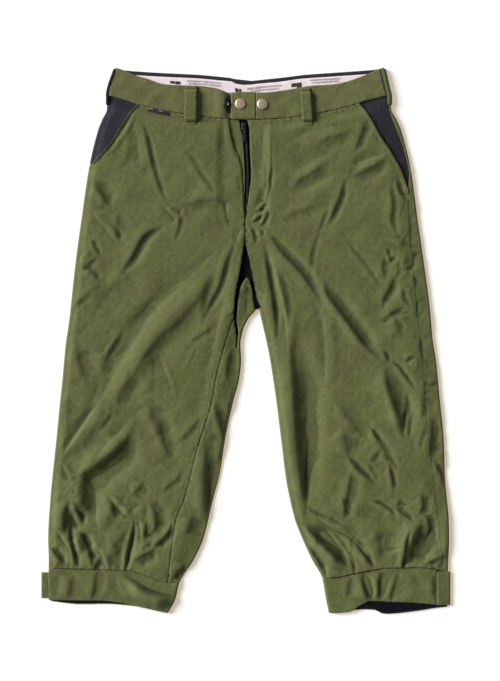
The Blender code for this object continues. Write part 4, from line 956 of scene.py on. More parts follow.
# %% [markdown]
# ## Materials
# Three things make flat green look like worn cloth: the weave, a slow mottling where dye and
# dirt sit unevenly, and the paler line that rubbing leaves along edges and seams. Each is a
# node group, because every cloth here uses it with its own values.

# %% Node helpers
def add_node(tree, kind, **values):
    """A node with its settings. A socket is named with spaces as underscores; it is set, or
    joined to another node's output."""
    node = tree.nodes.new(kind)
    for key, value in values.items():
        if isinstance(value, bpy.types.NodeSocket):
            tree.links.new(value, node.inputs[key.replace("_", " ")])
        elif hasattr(node, key):
            setattr(node, key, value)
        else:
            node.inputs[key.replace("_", " ")].default_value = value
    return node


def maths(tree, operation, *operands):
    node = tree.nodes.new("ShaderNodeMath")
    node.operation = operation
    for socket, operand in zip(node.inputs, operands):
        if isinstance(operand, (int, float)):
            socket.default_value = operand
        else:
            tree.links.new(operand, socket)
    return node.outputs[0]


def new_group(name, inputs, outputs):
    """An empty shader group. inputs: (name, kind, value); outputs: (name, kind)."""
    tree = bpy.data.node_groups.new(name, "ShaderNodeTree")
    for label, kind, value in inputs:
        socket = tree.interface.new_socket(label, in_out="INPUT", socket_type=kind)
        if value is not None:
            socket.default_value = value
    for label, kind in outputs:
        tree.interface.new_socket(label, in_out="OUTPUT", socket_type=kind)
    return tree, tree.nodes.new("NodeGroupInput"), tree.nodes.new("NodeGroupOutput")


def use_group(tree, group, **values):
    return add_node(tree, "ShaderNodeGroup", node_tree=group, **values)


FLOAT, VECTOR = "NodeSocketFloat", "NodeSocketVector"
print("helpers: node, maths, group")

# %% Group: twill weave
weave, given, result = new_group(
    "weave", [("Vector", VECTOR, None), ("Threads", FLOAT, 900.0)],
    [("Height", FLOAT), ("Tone", FLOAT)])
scaled = add_node(weave, "ShaderNodeVectorMath", operation="SCALE", Scale=given.outputs["Threads"])
weave.links.new(given.outputs["Vector"], scaled.inputs[0])
parts = add_node(weave, "ShaderNodeSeparateXYZ", Vector=scaled.outputs[0])
across, down = parts.outputs[0], parts.outputs[1]
diagonal = maths(weave, "SINE", maths(weave, "MULTIPLY", maths(weave, "ADD", across, down), 3.14))
warp = maths(weave, "SINE", maths(weave, "MULTIPLY", across, 6.28))
slubs = []
for stretched in ((0.12, 0.6, 0.6), (0.6, 0.12, 0.6)):      # thick places along each thread
    along_thread = add_node(weave, "ShaderNodeVectorMath", operation="MULTIPLY")
    along_thread.inputs[1].default_value = stretched
    weave.links.new(scaled.outputs[0], along_thread.inputs[0])
    slub = add_node(weave, "ShaderNodeTexNoise", Scale=1.0, Detail=1.0, Vector=along_thread.outputs[0])
    slubs.append(slub.outputs["Fac"])
both = maths(weave, "MULTIPLY", maths(weave, "ADD", *slubs), 0.5)
height = maths(weave, "ADD", maths(weave, "MULTIPLY", diagonal, 0.6), maths(weave, "MULTIPLY", warp, 0.4))
weave.links.new(maths(weave, "MULTIPLY", height, both), result.inputs["Height"])
weave.links.new(maths(weave, "MULTIPLY_ADD", height, 0.05, both), result.inputs["Tone"])
print("group:", weave.name)

# %% Group: mottling
mottle, given, result = new_group(
    "mottle", [("Vector", VECTOR, None), ("Scale", FLOAT, 30.0), ("Contrast", FLOAT, 1.0)],
    [("Mask", FLOAT)])
patches = add_node(mottle, "ShaderNodeTexNoise", Detail=5.0, Roughness=0.6, Distortion=0.4,
                   Vector=given.outputs["Vector"], Scale=given.outputs["Scale"])
centred = maths(mottle, "SUBTRACT", patches.outputs["Fac"], 0.5)
strong = maths(mottle, "MULTIPLY_ADD", centred, given.outputs["Contrast"], 0.5)
clamped = add_node(mottle, "ShaderNodeClamp", Value=strong)
mottle.links.new(clamped.outputs[0], result.inputs["Mask"])
print("group:", mottle.name)

# %% Group: rubbed edges
# The "edge" attribute holds each point's distance from its panel's edge, in millimetres.
rubbed, given, result = new_group(
    "rubbed_edge", [("Vector", VECTOR, None), ("Distance", FLOAT, 20.0), ("Width", FLOAT, 1.5)],
    [("Mask", FLOAT)])
ratio = maths(rubbed, "DIVIDE", given.outputs["Distance"], given.outputs["Width"])
squared = maths(rubbed, "MULTIPLY", ratio, ratio)
near = maths(rubbed, "POWER", 2.718, maths(rubbed, "MULTIPLY", squared, -1.0))
broken = add_node(rubbed, "ShaderNodeTexNoise", Scale=140.0, Detail=3.0,
                  Vector=given.outputs["Vector"])
rubbed.links.new(maths(rubbed, "MULTIPLY", near, broken.outputs["Fac"]), result.inputs["Mask"])
print("group:", rubbed.name)

# %% [markdown]
# Every cloth is the same recipe with its own colours. The shader stays in the material, and
# the groups feed its colour, roughness and bump.

# %% Cloth materials
def mix_colour(tree, mask, dark, light):
    """Mix two colours, each a tuple or a socket, by a mask."""
    mix = add_node(tree, "ShaderNodeMix", data_type="RGBA", Factor=mask)
    for socket, value in ((mix.inputs[6], dark), (mix.inputs[7], light)):
        if isinstance(value, tuple):
            socket.default_value = (*value, 1.0)
        else:
            tree.links.new(value, socket)
    return mix.outputs[2]


def cloth_material(name, deep, pale, faded, rubbed_colour, threads=900.0, roughness=0.85, sheen=0.04,
                   spread=28.0, contrast=1.6, grain=1.6, wrinkle=0.35, weave_depth=0.10, edge=1.6,
                   shine=0.28, slubby=2.6, bend_shade=0.75, bend_highlight=0.6):
    """deep and pale are the ends of the mottling, and faded is the tone of its brown patches.
    wrinkle and weave_depth are millimetres. The last two numbers set the painted light in a bend:
    how much painted shade darkens the cloth inside it, and how much painted highlight, together
    with rubbing wear, lightens it towards the rubbed colour outside."""
    made, tree, shader = new_material(
        name, {"Sheen Weight": sheen, "Sheen Roughness": 0.5, "Specular IOR Level": shine})
    spot = add_node(tree, "ShaderNodeTexCoord").outputs["Object"]
    threads_at = add_node(tree, "ShaderNodeUVMap", uv_map="cloth").outputs["UV"]
    distance = add_node(tree, "ShaderNodeAttribute", attribute_name="edge").outputs["Fac"]
    bend = add_node(tree, "ShaderNodeAttribute", attribute_name="bend").outputs["Fac"]
    woven = use_group(tree, weave, Vector=threads_at, Threads=threads)
    dye = use_group(tree, mottle, Vector=spot, Scale=spread, Contrast=contrast)
    fine = use_group(tree, mottle, Vector=spot, Scale=spread * 12, Contrast=grain)
    worn = use_group(tree, rubbed, Vector=spot, Distance=distance, Width=edge)
    tone = maths(tree, "ADD", maths(tree, "MULTIPLY", dye.outputs[0], 0.7),
                 maths(tree, "MULTIPLY", fine.outputs[0], 0.3))
    tone = maths(tree, "MULTIPLY_ADD", maths(tree, "SUBTRACT", woven.outputs["Tone"], 0.5), slubby, tone)
    colour = mix_colour(tree, tone, deep, pale)
    brown = use_group(tree, mottle, Vector=spot, Scale=spread * 0.7, Contrast=3.0)
    colour = mix_colour(tree, maths(tree, "MULTIPLY", brown.outputs[0], 0.42), colour, faded)
    colour = mix_colour(tree, worn.outputs[0], colour, rubbed_colour)
    # Painted shade darkens a bend's hollow towards a third of the deep colour; painted highlight,
    # together with rubbing wear, lightens a bend's ridge towards the rubbed colour.
    painted_bend_shade = maths(tree, "MULTIPLY", maths(tree, "MAXIMUM", bend, 0.0), bend_shade)
    painted_bend_highlight = maths(tree, "MULTIPLY", maths(tree, "MINIMUM", bend, 0.0), -bend_highlight)
    colour = mix_colour(tree, painted_bend_shade, colour, tuple(0.35 * part for part in deep))
    colour = mix_colour(tree, painted_bend_highlight, colour, rubbed_colour)
    tree.links.new(colour, shader.inputs["Base Color"])
    rough = maths(tree, "MULTIPLY_ADD", fine.outputs[0], 0.12, roughness - 0.06)
    tree.links.new(rough, shader.inputs["Roughness"])
    ripple = add_node(tree, "ShaderNodeTexNoise", Scale=85.0, Detail=4.0, Distortion=0.8, Vector=spot)
    relief = maths(tree, "MULTIPLY_ADD", ripple.outputs["Fac"], wrinkle,
                   maths(tree, "MULTIPLY", woven.outputs["Height"], weave_depth))
    bump = add_node(tree, "ShaderNodeBump", Distance=MM, Strength=1.0, Height=relief)
    tree.links.new(bump.outputs[0], shader.inputs["Normal"])
    return made


GREEN = cloth_material("green_twill", (0.0585, 0.0735, 0.0185), (0.092, 0.1105, 0.035),
                       (0.086, 0.072, 0.029), (0.095, 0.105, 0.040), edge=1.1, contrast=2.2,
                       grain=3.2, wrinkle=0.6)
BAND_GREEN = cloth_material("green_band_twill", (0.064, 0.076, 0.021), (0.102, 0.116, 0.040),
                            (0.108, 0.086, 0.036), (0.12, 0.125, 0.055), edge=1.3, contrast=2.6,
                            grain=3.0, wrinkle=0.9)
# A darker copy of the green, as painted shade: the right welt is the same cloth as the front, made to
# read as lying in shadow.
WELT_PAINTED_SHADE = cloth_material("green_welt_twill", (0.026, 0.030, 0.011), (0.040, 0.046, 0.018),
                            (0.036, 0.034, 0.016), (0.05, 0.055, 0.026), edge=1.1, wrinkle=0.5)
CHARCOAL = cloth_material("charcoal_twill", (0.011, 0.011, 0.016), (0.018, 0.018, 0.026),
                          (0.014, 0.014, 0.019), (0.030, 0.030, 0.040), threads=1100.0, wrinkle=0.8,
                          contrast=2.4, sheen=0.02, shine=0.2)
BLACK = cloth_material("black_cloth", (0.002, 0.002, 0.003), (0.006, 0.005, 0.009),
                       (0.003, 0.003, 0.004), (0.012, 0.011, 0.016), threads=1300.0, wrinkle=0.3,
                       sheen=0.0, shine=0.07)
TAPE = cloth_material("pale_tape", (0.57, 0.49, 0.53), (0.70, 0.61, 0.65), (0.59, 0.50, 0.52),
                      (0.70, 0.63, 0.66), threads=1500.0, roughness=0.7, wrinkle=0.15)
GREY = cloth_material("grey_label", (0.006, 0.004, 0.004), (0.012, 0.009, 0.008),
                      (0.010, 0.006, 0.005), (0.05, 0.04, 0.035), threads=1800.0, wrinkle=0.1,
                      edge=0.7)
FADED = cloth_material("faded_print", (0.20, 0.15, 0.15), (0.30, 0.24, 0.24), (0.22, 0.16, 0.15),
                       (0.40, 0.35, 0.39), threads=1500.0, roughness=0.8, wrinkle=0.0)
THREAD = cloth_material("green_thread", (0.050, 0.060, 0.020), (0.088, 0.098, 0.038),
                        (0.070, 0.070, 0.028), (0.09, 0.10, 0.04), threads=2500.0, roughness=0.7,
                        wrinkle=0.05)
print("cloths:", 9)

# %% Metal and plastic materials
def metal_material(name, deep, bright, roughness, metallic):
    """Metal whose bright parts show through a darker, rougher patina."""
    made, tree, shader = new_material(name, {"Metallic": metallic})
    spot = add_node(tree, "ShaderNodeTexCoord").outputs["Object"]
    patina = use_group(tree, mottle, Vector=spot, Scale=420.0, Contrast=2.2).outputs[0]
    rough = maths(tree, "MULTIPLY_ADD", patina, -0.15, roughness + 0.1)
    tree.links.new(mix_colour(tree, patina, deep, bright), shader.inputs["Base Color"])
    tree.links.new(rough, shader.inputs["Roughness"])
    return made


NICKEL = metal_material("antique_nickel", (0.23, 0.185, 0.125), (0.42, 0.355, 0.255), 0.50, 0.65)
BLACK_METAL = metal_material("black_metal", (0.012, 0.012, 0.014), (0.06, 0.06, 0.065), 0.34, 0.8)
PLASTIC = metal_material("black_plastic", (0.006, 0.006, 0.007), (0.014, 0.014, 0.016), 0.22, 0.0)
print("metals: 2, plastics: 1")

# %% [markdown]
# ## A cloth wall
# A cloth panel is not a sheet of paper: it has a thickness, and its edge is folded under and
# sewn, so it sinks a little at the seam, rounds over, and puckers where the stitches pull.
# The wall is built straight from the grid of points, outside and inside, with a closed rim.

# %% Edges and bends of the cloth
SEAM_DIP, DIP_WIDTH = 0.32, 1.4
PUCKER = reader(waves(11, 44, 5.5, 13.0, 0.12))
PUCKER_WIDTH = 7.0
SHEET_AREAS = {}


def directions(points, up):
    """The direction out of the cloth at each point. up: (row, column, 1 up or -1 down)."""
    normal = np.cross(np.gradient(points, axis=1), np.gradient(points, axis=0))
    normal /= np.maximum(np.linalg.norm(normal, axis=-1, keepdims=True), 1e-9)
    row, column, sign = up
    turned = normal[row, column, 2] * sign < 0
    return (-normal if turned else normal), turned


FAR = 30.0                # no point counts as further from an edge than this


def edge_distance(points, present):
    """Each point's distance from the nearest edge of the part of the grid that exists."""
    rows, columns = points.shape[:2]
    padded = np.zeros((rows + 1, columns + 1), dtype=bool)
    padded[1:-1, 1:-1] = present
    around = padded[:-1, :-1].astype(int) + padded[1:, :-1] + padded[:-1, 1:] + padded[1:, 1:]
    rim = (around > 0) & (around < 4)
    rim_points = points[rim]
    result = np.full((rows, columns), FAR)
    for start in range(0, rows, 8):
        block = points[start:start + 8].reshape(-1, 3)
        near = np.abs(rim_points[:, 1:2].T - block[:, 1].mean()) < 2 * FAR
        chosen = rim_points[near[0]]
        if len(chosen):
            gap = np.sqrt(((block[:, None, :] - chosen[None]) ** 2).sum(-1)).min(axis=1)
            result[start:start + 8] = np.minimum(gap, FAR).reshape(-1, columns)
    return result


SHARPEST = 0.16           # bend of the sharpest crease, in turns of a radian per millimetre


def bends(points, normal):
    """How the cloth bends at each point, from 1 in a sharp hollow to -1 on a sharp ridge."""
    total = np.zeros(points.shape[:2])
    for axis in (0, 1):
        step, turn = np.gradient(points, axis=axis), np.gradient(normal, axis=axis)
        total -= (turn * step).sum(axis=-1) / np.maximum((step ** 2).sum(axis=-1), 0.6)
    return np.clip(total / SHARPEST, -1.0, 1.0)


print("sharpest crease turns", SHARPEST, "radians in a millimetre")

# %% Mesh objects
def mesh_object(name, vertices, quads, finish, point_uv=None, edge=None, bend=None):
    """A smooth mesh object at the origin. Vertices are millimetres in the tailor's frame."""
    mesh = bpy.data.meshes.new(name)
    place_mm = np.asarray(vertices, dtype=float) + (0.0, SHIFT_Y, 0.0)
    mesh.vertices.add(len(place_mm))
    mesh.vertices.foreach_set("co", (place_mm * MM).astype(np.float32).ravel())
    quads = np.asarray(quads, dtype=np.int32)
    corners = np.ones(quads.shape, dtype=bool)
    corners[:, 3] = quads[:, 3] != quads[:, 2]     # a repeated last corner makes a triangle
    loops, sizes = quads[corners], corners.sum(axis=1)
    mesh.loops.add(len(loops))
    mesh.loops.foreach_set("vertex_index", loops)
    mesh.polygons.add(len(quads))
    mesh.polygons.foreach_set("loop_start", (np.cumsum(sizes) - sizes).astype(np.int32))
    mesh.update(calc_edges=True)
    if point_uv is not None:
        layer = mesh.uv_layers.new(name="cloth")
        layer.data.foreach_set("uv", (point_uv[loops] * MM).astype(np.float32).ravel())
    for kind, values in (("edge", edge), ("bend", bend)):
        if values is not None:
            data = mesh.attributes.new(kind, "FLOAT", "POINT").data
            data.foreach_set("value", values.astype(np.float32))
    mesh.shade_smooth()
    mesh.set_sharp_from_angle(angle=math.radians(60))
    mesh.materials.append(finish)
    return add_object(name, mesh)


print("every mesh stands at the origin, in metres")

# %% Cloth walls
EDGE_ROUND, ROUND_WIDTH = 0.55, 0.9     # how much thinner a wall is at its edge, and how far in
INSIDE_STEP = 4           # the hidden inside of a wall has one cell for so many of the outside's


def coarser(number, present):
    """Cells of the grid in larger steps, which of them exist, and the larger grid's nearest
    point for every point. There is a step wherever the present part begins or ends."""
    def stations(changes, count):
        cuts = [0, *(np.nonzero(changes)[0] + 1), count - 1]
        kept = np.unique(np.concatenate([np.append(np.arange(a, b, INSIDE_STEP), b)
                                         for a, b in zip(cuts[:-1], cuts[1:])]))
        return kept, kept[np.abs(kept[None] - np.arange(count)[:, None]).argmin(axis=1)]
    rows, near_row = stations((present[1:] != present[:-1]).any(axis=1), number.shape[0])
    columns, near_column = stations((present[:, 1:] != present[:, :-1]).any(axis=0), number.shape[1])
    grid = number[np.ix_(rows, columns)]
    ring = np.stack((grid[:-1, :-1], grid[:-1, 1:], grid[1:, 1:], grid[1:, :-1]), axis=-1)
    kept = present[np.ix_(rows[:-1], columns[:-1])]
    return ring[kept], number[np.ix_(near_row, near_column)].ravel()


def wall(name, finish, points, thickness, up, present=None, sewn=1.0):
    """A closed cloth wall about a grid of middle points. sewn is how much its edges dip."""
    rows, columns = points.shape[:2]
    if present is None:
        present = np.ones((rows - 1, columns - 1), dtype=bool)
    normal, turned = directions(points, up)
    edge = edge_distance(points, present)
    on_top = ease((normal[..., 2] + 0.1) / 0.5)
    lift = -SEAM_DIP * np.exp(-(edge / DIP_WIDTH) ** 2)
    lift = lift + np.exp(-(edge / PUCKER_WIDTH) ** 2) * PUCKER(points[..., 0], points[..., 1])
    points = points + normal * (lift * on_top * sewn)[..., None]
    normal, _ = directions(points, up)
    rounding = EDGE_ROUND * np.minimum(sewn, 1.0)
    half = thickness / 2 * (1.0 - rounding * (1.0 - ease(edge / ROUND_WIDTH)))
    outside = points + normal * half[..., None]
    inside = points - normal * half[..., None]
    outside[..., 2] = np.maximum(outside[..., 2], 0.0)
    inside[..., 2] = np.maximum(inside[..., 2], 0.0)

    steps = np.linalg.norm(np.diff(points, axis=1), axis=-1)
    u = np.concatenate((np.zeros((rows, 1)), np.cumsum(steps, axis=1)), axis=1)
    u -= u[:, columns // 2:columns // 2 + 1]
    v = np.cumsum(np.append(0.0, np.linalg.norm(np.diff(points[:, columns // 2], axis=0), axis=-1)))
    uv = np.stack((u, np.broadcast_to(v[:, None], u.shape)), axis=-1).reshape(-1, 2)

    number = np.arange(rows * columns).reshape(rows, columns)
    ring = np.stack((number[:-1, :-1], number[:-1, 1:], number[1:, 1:], number[1:, :-1]), axis=-1)
    if turned:
        ring = ring[..., ::-1]
    below = rows * columns
    coarse, nearest = coarser(number, present)
    quads = [ring[present], coarse[:, ::1 if turned else -1] + below]
    framed = np.zeros((rows + 1, columns + 1), dtype=bool)
    framed[1:-1, 1:-1] = present
    beyond = {(0, 1): framed[:-2, 1:-1], (1, 2): framed[1:-1, 2:], (2, 3): framed[2:, 1:-1],
              (3, 0): framed[1:-1, :-2]}
    for (a, b), neighbour in beyond.items():
        if turned:
            a, b = 3 - b, 3 - a
        cells = ring[present & ~neighbour]
        quads.append(np.stack((cells[:, b], cells[:, a], nearest[cells[:, a]] + below,
                               nearest[cells[:, b]] + below), axis=-1))
    quads = np.concatenate(quads)
    vertices = np.concatenate((outside.reshape(-1, 3), inside.reshape(-1, 3)))
    used, quads = np.unique(quads, return_inverse=True)
    made = mesh_object(name, vertices[used], quads.reshape(-1, 4), finish,
                       np.concatenate((uv, uv))[used], np.tile(edge.ravel(), 2)[used],
                       np.tile(bends(points, normal).ravel(), 2)[used])
    SHEET_AREAS[name] = area_of(points, present)
    return made


def area_of(points, present):
    """The cloth's own area in square metres."""
    a, b = points[1:, 1:] - points[:-1, :-1], points[1:, :-1] - points[:-1, 1:]
    return float((np.linalg.norm(np.cross(a, b), axis=-1) / 2)[present].sum()) * MM * MM


def raised(points, up, under, thickness):
    """Middle points of a piece that lies on a panel, made from the panel's own points."""
    return points + directions(points, up)[0] * (under / 2 + SEAM_GAP + thickness / 2)


def dress(piece, node, body="garment"):
    """The piece moves with its body and stands for its solid, which is hidden."""
    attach(piece, body)
    if node:
        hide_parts(node)
    return piece


print("a wall's inside has one cell for", INSIDE_STEP ** 2, "of its outside")

# %% [markdown]
# ## Leg panels
# Each front and back is one patch. The right front turns under its outer edge; the left
# front turns under its inseam, and the left back comes round to the top beside the pocket.
# The right back comes round the inseam to the top as well, and its corner at the crotch
# stands up as a small tip.

# %% Fronts
SLANT_V = RIGHT.crotch * 5 / SEAT_ROWS    # row at which the right pocket ends
SIDE_SEWN = 0.2                           # the left side seam is pressed nearly flat


def right_start(y):
    edge = RIGHT_TURN(y)
    return np.where(y > 240.0, np.maximum(right_pocket(y), edge), edge)


def right_front():
    columns = right_edge_columns()
    turn = len(columns)
    columns += run(TOP, right_start, right_front_edge, 172)
    rows = close_rows(RIGHT.rows, 640.0)
    points = patch(RIGHT, columns, rows, front_rows(RIGHT), front_height, CLOTH)
    present = np.ones((len(rows) - 1, len(columns) - 1), dtype=bool)
    present[:int((rows < SLANT_V - 1e-6).sum()), :turn] = False
    return wall("right_front_cloth", GREEN, points, CLOTH, (200, turn + 50, 1), present)


def left_start(y):
    return np.where(y > POCKET_END_Y, np.minimum(left_pocket(y), left_side_seam(y)), left_side_seam(y))


left_inner_turn = turn_line(LEFT, INNER, CLOTH)


def left_end(y):
    below = ease((CROTCH_Y + 12 - y) / 12)
    return left_front_edge(y) * (1 - below) + below * left_inner_turn(y)


def left_front():
    columns = run(TOP, left_start, left_end, 172)
    top = len(columns)
    columns += downward(INNER)
    columns += run(FLOOR, left_inner_turn, lambda y: LEFT.inner(y) + INSEAM_WRAP, 3,
                   close_first=False)[1:]
    rows = close_rows(LEFT.rows, 640.0)
    points = patch(LEFT, columns, rows, front_rows(LEFT), front_height, CLOTH)
    present = np.ones((len(rows) - 1, len(columns) - 1), dtype=bool)
    present[:int((rows < LEFT.crotch - 1e-6).sum()), top - 1:] = False
    pressed_flat = points[..., 0] > left_side_seam(points[..., 1]) - 8.0
    return wall("left_front_cloth", GREEN, points, CLOTH, (200, 50, 1), present,
                np.where(pressed_flat, SIDE_SEWN, 1.0))


dress(right_front(), "front_right")
dress(left_front(), "front_left")
print({name: round(area, 3) for name, area in SHEET_AREAS.items()})

# %% Backs
right_turn_top = turn_line(RIGHT, INNER, CLOTH)


TAIL_HALF = 1.7           # half of the slit in which the gusset's tail shows


def tip_side(y):
    return np.minimum(tail_line(y) + TAIL_HALF, right_turn_top(y) - 1.2)


def lobe_side(y):
    return np.minimum(tail_line(y) - TAIL_HALF, tip_side(y) - 1.6)


def right_back():
    def start(y):
        return RIGHT.outer(y) + UNDER_WRAP + SEAM_GAP

    def end(y):
        seat = ease((y - CROTCH_Y) / 10)
        return seat * (centre_back(y) - SEAM_GAP / 2) + (1 - seat) * right_turn_top(y)

    columns = run(FLOOR, start, end, 40, close_last=False)
    floor_columns = len(columns)
    columns += upward(INNER)[1:]
    tip = len(columns)
    parts = np.linspace(0.0, 1.0, 15)
    columns += [(TOP, between(right_turn_top, tip_side, part)) for part in parts]
    slit = len(columns) - 1
    columns += run(TOP, lobe_side, lambda y: right_front_edge(y) + SEAM_GAP, 12)
    rows = close_rows(RIGHT.rows, 640.0)
    tip_line = smooth_path(CROTCH_TIP, 1.0)
    lengths = np.append(0.0, np.cumsum(np.hypot(*np.diff(tip_line, axis=0).T)))
    leg_row = (1.0 - RIGHT.crotch) / LEG_ROWS
    part_down = (rows - RIGHT.crotch) / leg_row
    bent = (part_down > -1e-6) & (part_down < 1.0)

    def bend(index, x, y):
        """Draw the rows below the crotch up into the tip."""
        if tip <= index < tip + len(parts):
            x, y = x.copy(), y.copy()
            first_plain = int(np.argmax(part_down >= 1.0 - 1e-6))
            at = parts[index - tip] * lengths[-1]
            goal = np.interp(at, lengths, tip_line[:, 0]), np.interp(at, lengths, tip_line[:, 1])
            t = np.clip(part_down[bent], 0, 1)
            x[bent] = goal[0] * (1 - t) + x[first_plain] * t
            y[bent] = goal[1] * (1 - t) + y[first_plain] * t
        return x, y

    points = patch(RIGHT, columns, rows, back_rows(RIGHT), front_height, CLOTH, bend, dented=True)
    present = np.ones((len(rows) - 1, len(columns) - 1), dtype=bool)
    crotch_row = int((rows < RIGHT.crotch - 1e-6).sum())
    present[:crotch_row, floor_columns - 1:] = False
    present[crotch_row:int((rows < RIGHT.crotch + 3 * leg_row).sum()), slit] = False
    present[crotch_row:int((rows < RIGHT.crotch + leg_row).sum()), slit + 1:] = False
    return wall("right_back_cloth", GREEN, points, CLOTH, (200, 20, -1), present)


def left_back():
    def start(y):
        return left_side_seam(y) + SEAM_GAP

    def end(y):
        seat = ease((y - CROTCH_Y) / 28)
        beside_inseam = LEFT.inner(y) + INSEAM_WRAP + SEAM_GAP
        return seat * (centre_back(y) + SEAM_GAP / 2) + (1 - seat) * beside_inseam

    columns = run(TOP, start, LEFT_TURN, 5, close_last=False)
    columns += downward(OUTER)
    columns += run(FLOOR, LEFT_TURN, end, 40, close_first=False)
    rows = close_rows(LEFT.rows, 640.0)
    points = patch(LEFT, columns, rows, back_rows(LEFT), front_height, CLOTH, dented=True)
    return wall("left_back_cloth", GREEN, points, CLOTH, (200, 40, -1), sewn=SIDE_SEWN)


dress(right_back(), "back_right")
dress(left_back(), "back_left")
print({name: round(area, 3) for name, area in SHEET_AREAS.items()})

# %% [markdown]
# ## Pockets
# Each slanted pocket mouth has a narrow welt along it, and behind the mouth lies a facing of
# dark cloth. On the right the facing runs round the leg's outer edge.

# %% Pocket facings and welts
def right_facing():
    columns = right_edge_columns()
    top = len(columns)
    columns += run(TOP, RIGHT_TURN, lambda y: right_pocket(y) + FACING_DEPTH, 30, close_first=False)
    rows = np.linspace(0.0, SLANT_V - 0.6 / (SIDE_WAIST_Y - CUFF_Y), 48)
    points = patch(RIGHT, columns, rows, front_rows(RIGHT), facing_height, CLOTH)
    return wall("right_pocket_facing", CHARCOAL, points, CLOTH, (20, top + 5, 1), sewn=0.5)


def left_facing():
    columns = run(TOP, lambda y: left_side_seam(y) - SEAM_GAP - 0.1,
                  lambda y: left_pocket(y) - FACING_DEPTH, 30)
    rows = np.linspace(0.0, 0.196, 60)
    points = patch(LEFT, columns, rows, front_rows(LEFT), facing_height, CLOTH)
    return wall("left_pocket_facing", CHARCOAL, points, CLOTH, (20, 5, 1), sewn=0.5)


WELT_WIDTH_RIGHT, WELT_WIDTH_LEFT = 3.6, 6.0


def welt(name, finish, leg, start, width, rows, foot):
    """A narrow strip that lies on the front along a pocket's mouth, down to the foot's y."""
    columns = run(TOP, start, lambda y: start(y) + width, 3)
    points = patch(leg, columns, rows, front_rows(leg), front_height, CLOTH)
    points = raised(points[points[:, 0, 1] > foot], (20, 2, 1), CLOTH - 0.3, THIN)
    return wall(name, finish, points, THIN, (20, 2, 1), sewn=0.6)


dress(right_facing(), "pocket_facing_right")
dress(left_facing(), "pocket_facing_left")
# The right welt takes the darker copy of the green: painted shade.
dress(welt("right_pocket_welt", WELT_PAINTED_SHADE, RIGHT, right_start, WELT_WIDTH_RIGHT,
           RIGHT.rows[RIGHT.rows < SLANT_V], 0), "pocket_welt_right")
dress(welt("left_pocket_welt", GREEN, LEFT, left_start, -WELT_WIDTH_LEFT, LEFT.rows, 206),
      "pocket_welt_left")
print("facings: 2, welts: 2")

# %% [markdown]
# ## Gusset and fly
# A black sheet lies in the crotch, between the backs and the fronts, and shows as a dark
# diamond. The fly hides a black zip tape; beside it the fly extension stands behind the right front.

# %% Gusset, zip tape and fly extension
over_back = CLOTH + SEAM_GAP
over_tape = over_back + THIN + SEAM_GAP
uneven = reader(waves(17, 30, 12, 40, 0.09))


def level_sheet(name, finish, ys, left, right, low, thickness, count):
    """A sheet that lies level between two edge functions, with a little unevenness."""
    y = np.array(ys, dtype=float)[:, None]
    part = np.linspace(0.0, 1.0, count + 1)[None]
    x = left(y) + part * (right(y) - left(y))
    y = np.broadcast_to(y, x.shape)
    z = low + thickness / 2 + np.minimum(uneven(x, y), 0.12)
    points = np.stack((x, y, z), axis=-1)
    return wall(name, finish, points, thickness, (1, 1, 1), sewn=0.2)


def fly_extension():
    return level_sheet("fly_extension_cloth", GREEN, np.linspace(FLY_WAIST_Y - 1.0, 192.0, 60),
                       lambda y: zip_left(y) - 24, lambda y: zip_left(y) - 0.4, over_tape, CLOTH, 14)


gusset = level_sheet("gusset_cloth", BLACK, np.linspace(GUSSET[0][0], GUSSET[-1][0], 110),
                     gusset_left, gusset_right, over_back, THIN, 14)
tape_cloth = level_sheet("zip_tape_cloth", BLACK, np.linspace(FLY_WAIST_Y - 1.0, 163.0, 70),
                         lambda y: zip_left(y) - 9, lambda y: zip_right(y) + 9, over_back, THIN, 14)
dress(gusset, "crotch_gusset")
dress(tape_cloth, "zip_tape")
dress(fly_extension(), "fly_extension")
print("gusset, zip tape and fly extension")

# %% [markdown]
# ## Waistband
# Two layers of cloth with a stiffening make the band. The front runs in two parts with a
# tab that laps over the fly; the dark back part shows behind them, lined with a pale tape.

# %% Bands, tab and tape
NEAR_EDGES = np.array((0.45, 1.1, 37.2, 37.8)) / 38.3
BAND_ROWS = np.unique(np.concatenate((np.linspace(0.0, 1.0, 22), NEAR_EDGES)))
band_uneven = reader(waves(23, 26, 18, 55, 0.22))


def soft_band(x, y):
    return band_height(x, y) + band_uneven(x, y)


CURL_START, CURL_END, CURL_DROP = -33.0, -23.5, 2.2


def curled_band(x, y):
    """The right band's end bulges, then rolls down beside the tab."""
    bulge = 0.9 * np.exp(-((x - CURL_START + 3) / 6) ** 2)
    return soft_band(x, y) + bulge - CURL_DROP * ease((x - CURL_START) / (CURL_END - CURL_START)) ** 1.6


def painted_end_shadow():
    """A black sheet laid over the band's rolled end, as painted shadow in the sliver beside the tab."""
    part = np.linspace(0.0, 1.0, 28)[:, None]
    wide = 0.8 + 7.8 * np.sin(np.pi * part) ** 0.6
    x = -21.7 - wide * (1.0 - np.linspace(0.0, 1.0, 9)[None])
    y = 345.0 - 26.5 * part + 0.0 * x
    low = np.maximum(curled_band(x, y), soft_band(x, y)) + BAND / 2 + SEAM_GAP
    return wall("band_rolled_end", BLACK, np.stack((x, y, low + 0.3), axis=-1), 0.6, (9, 4, 1))


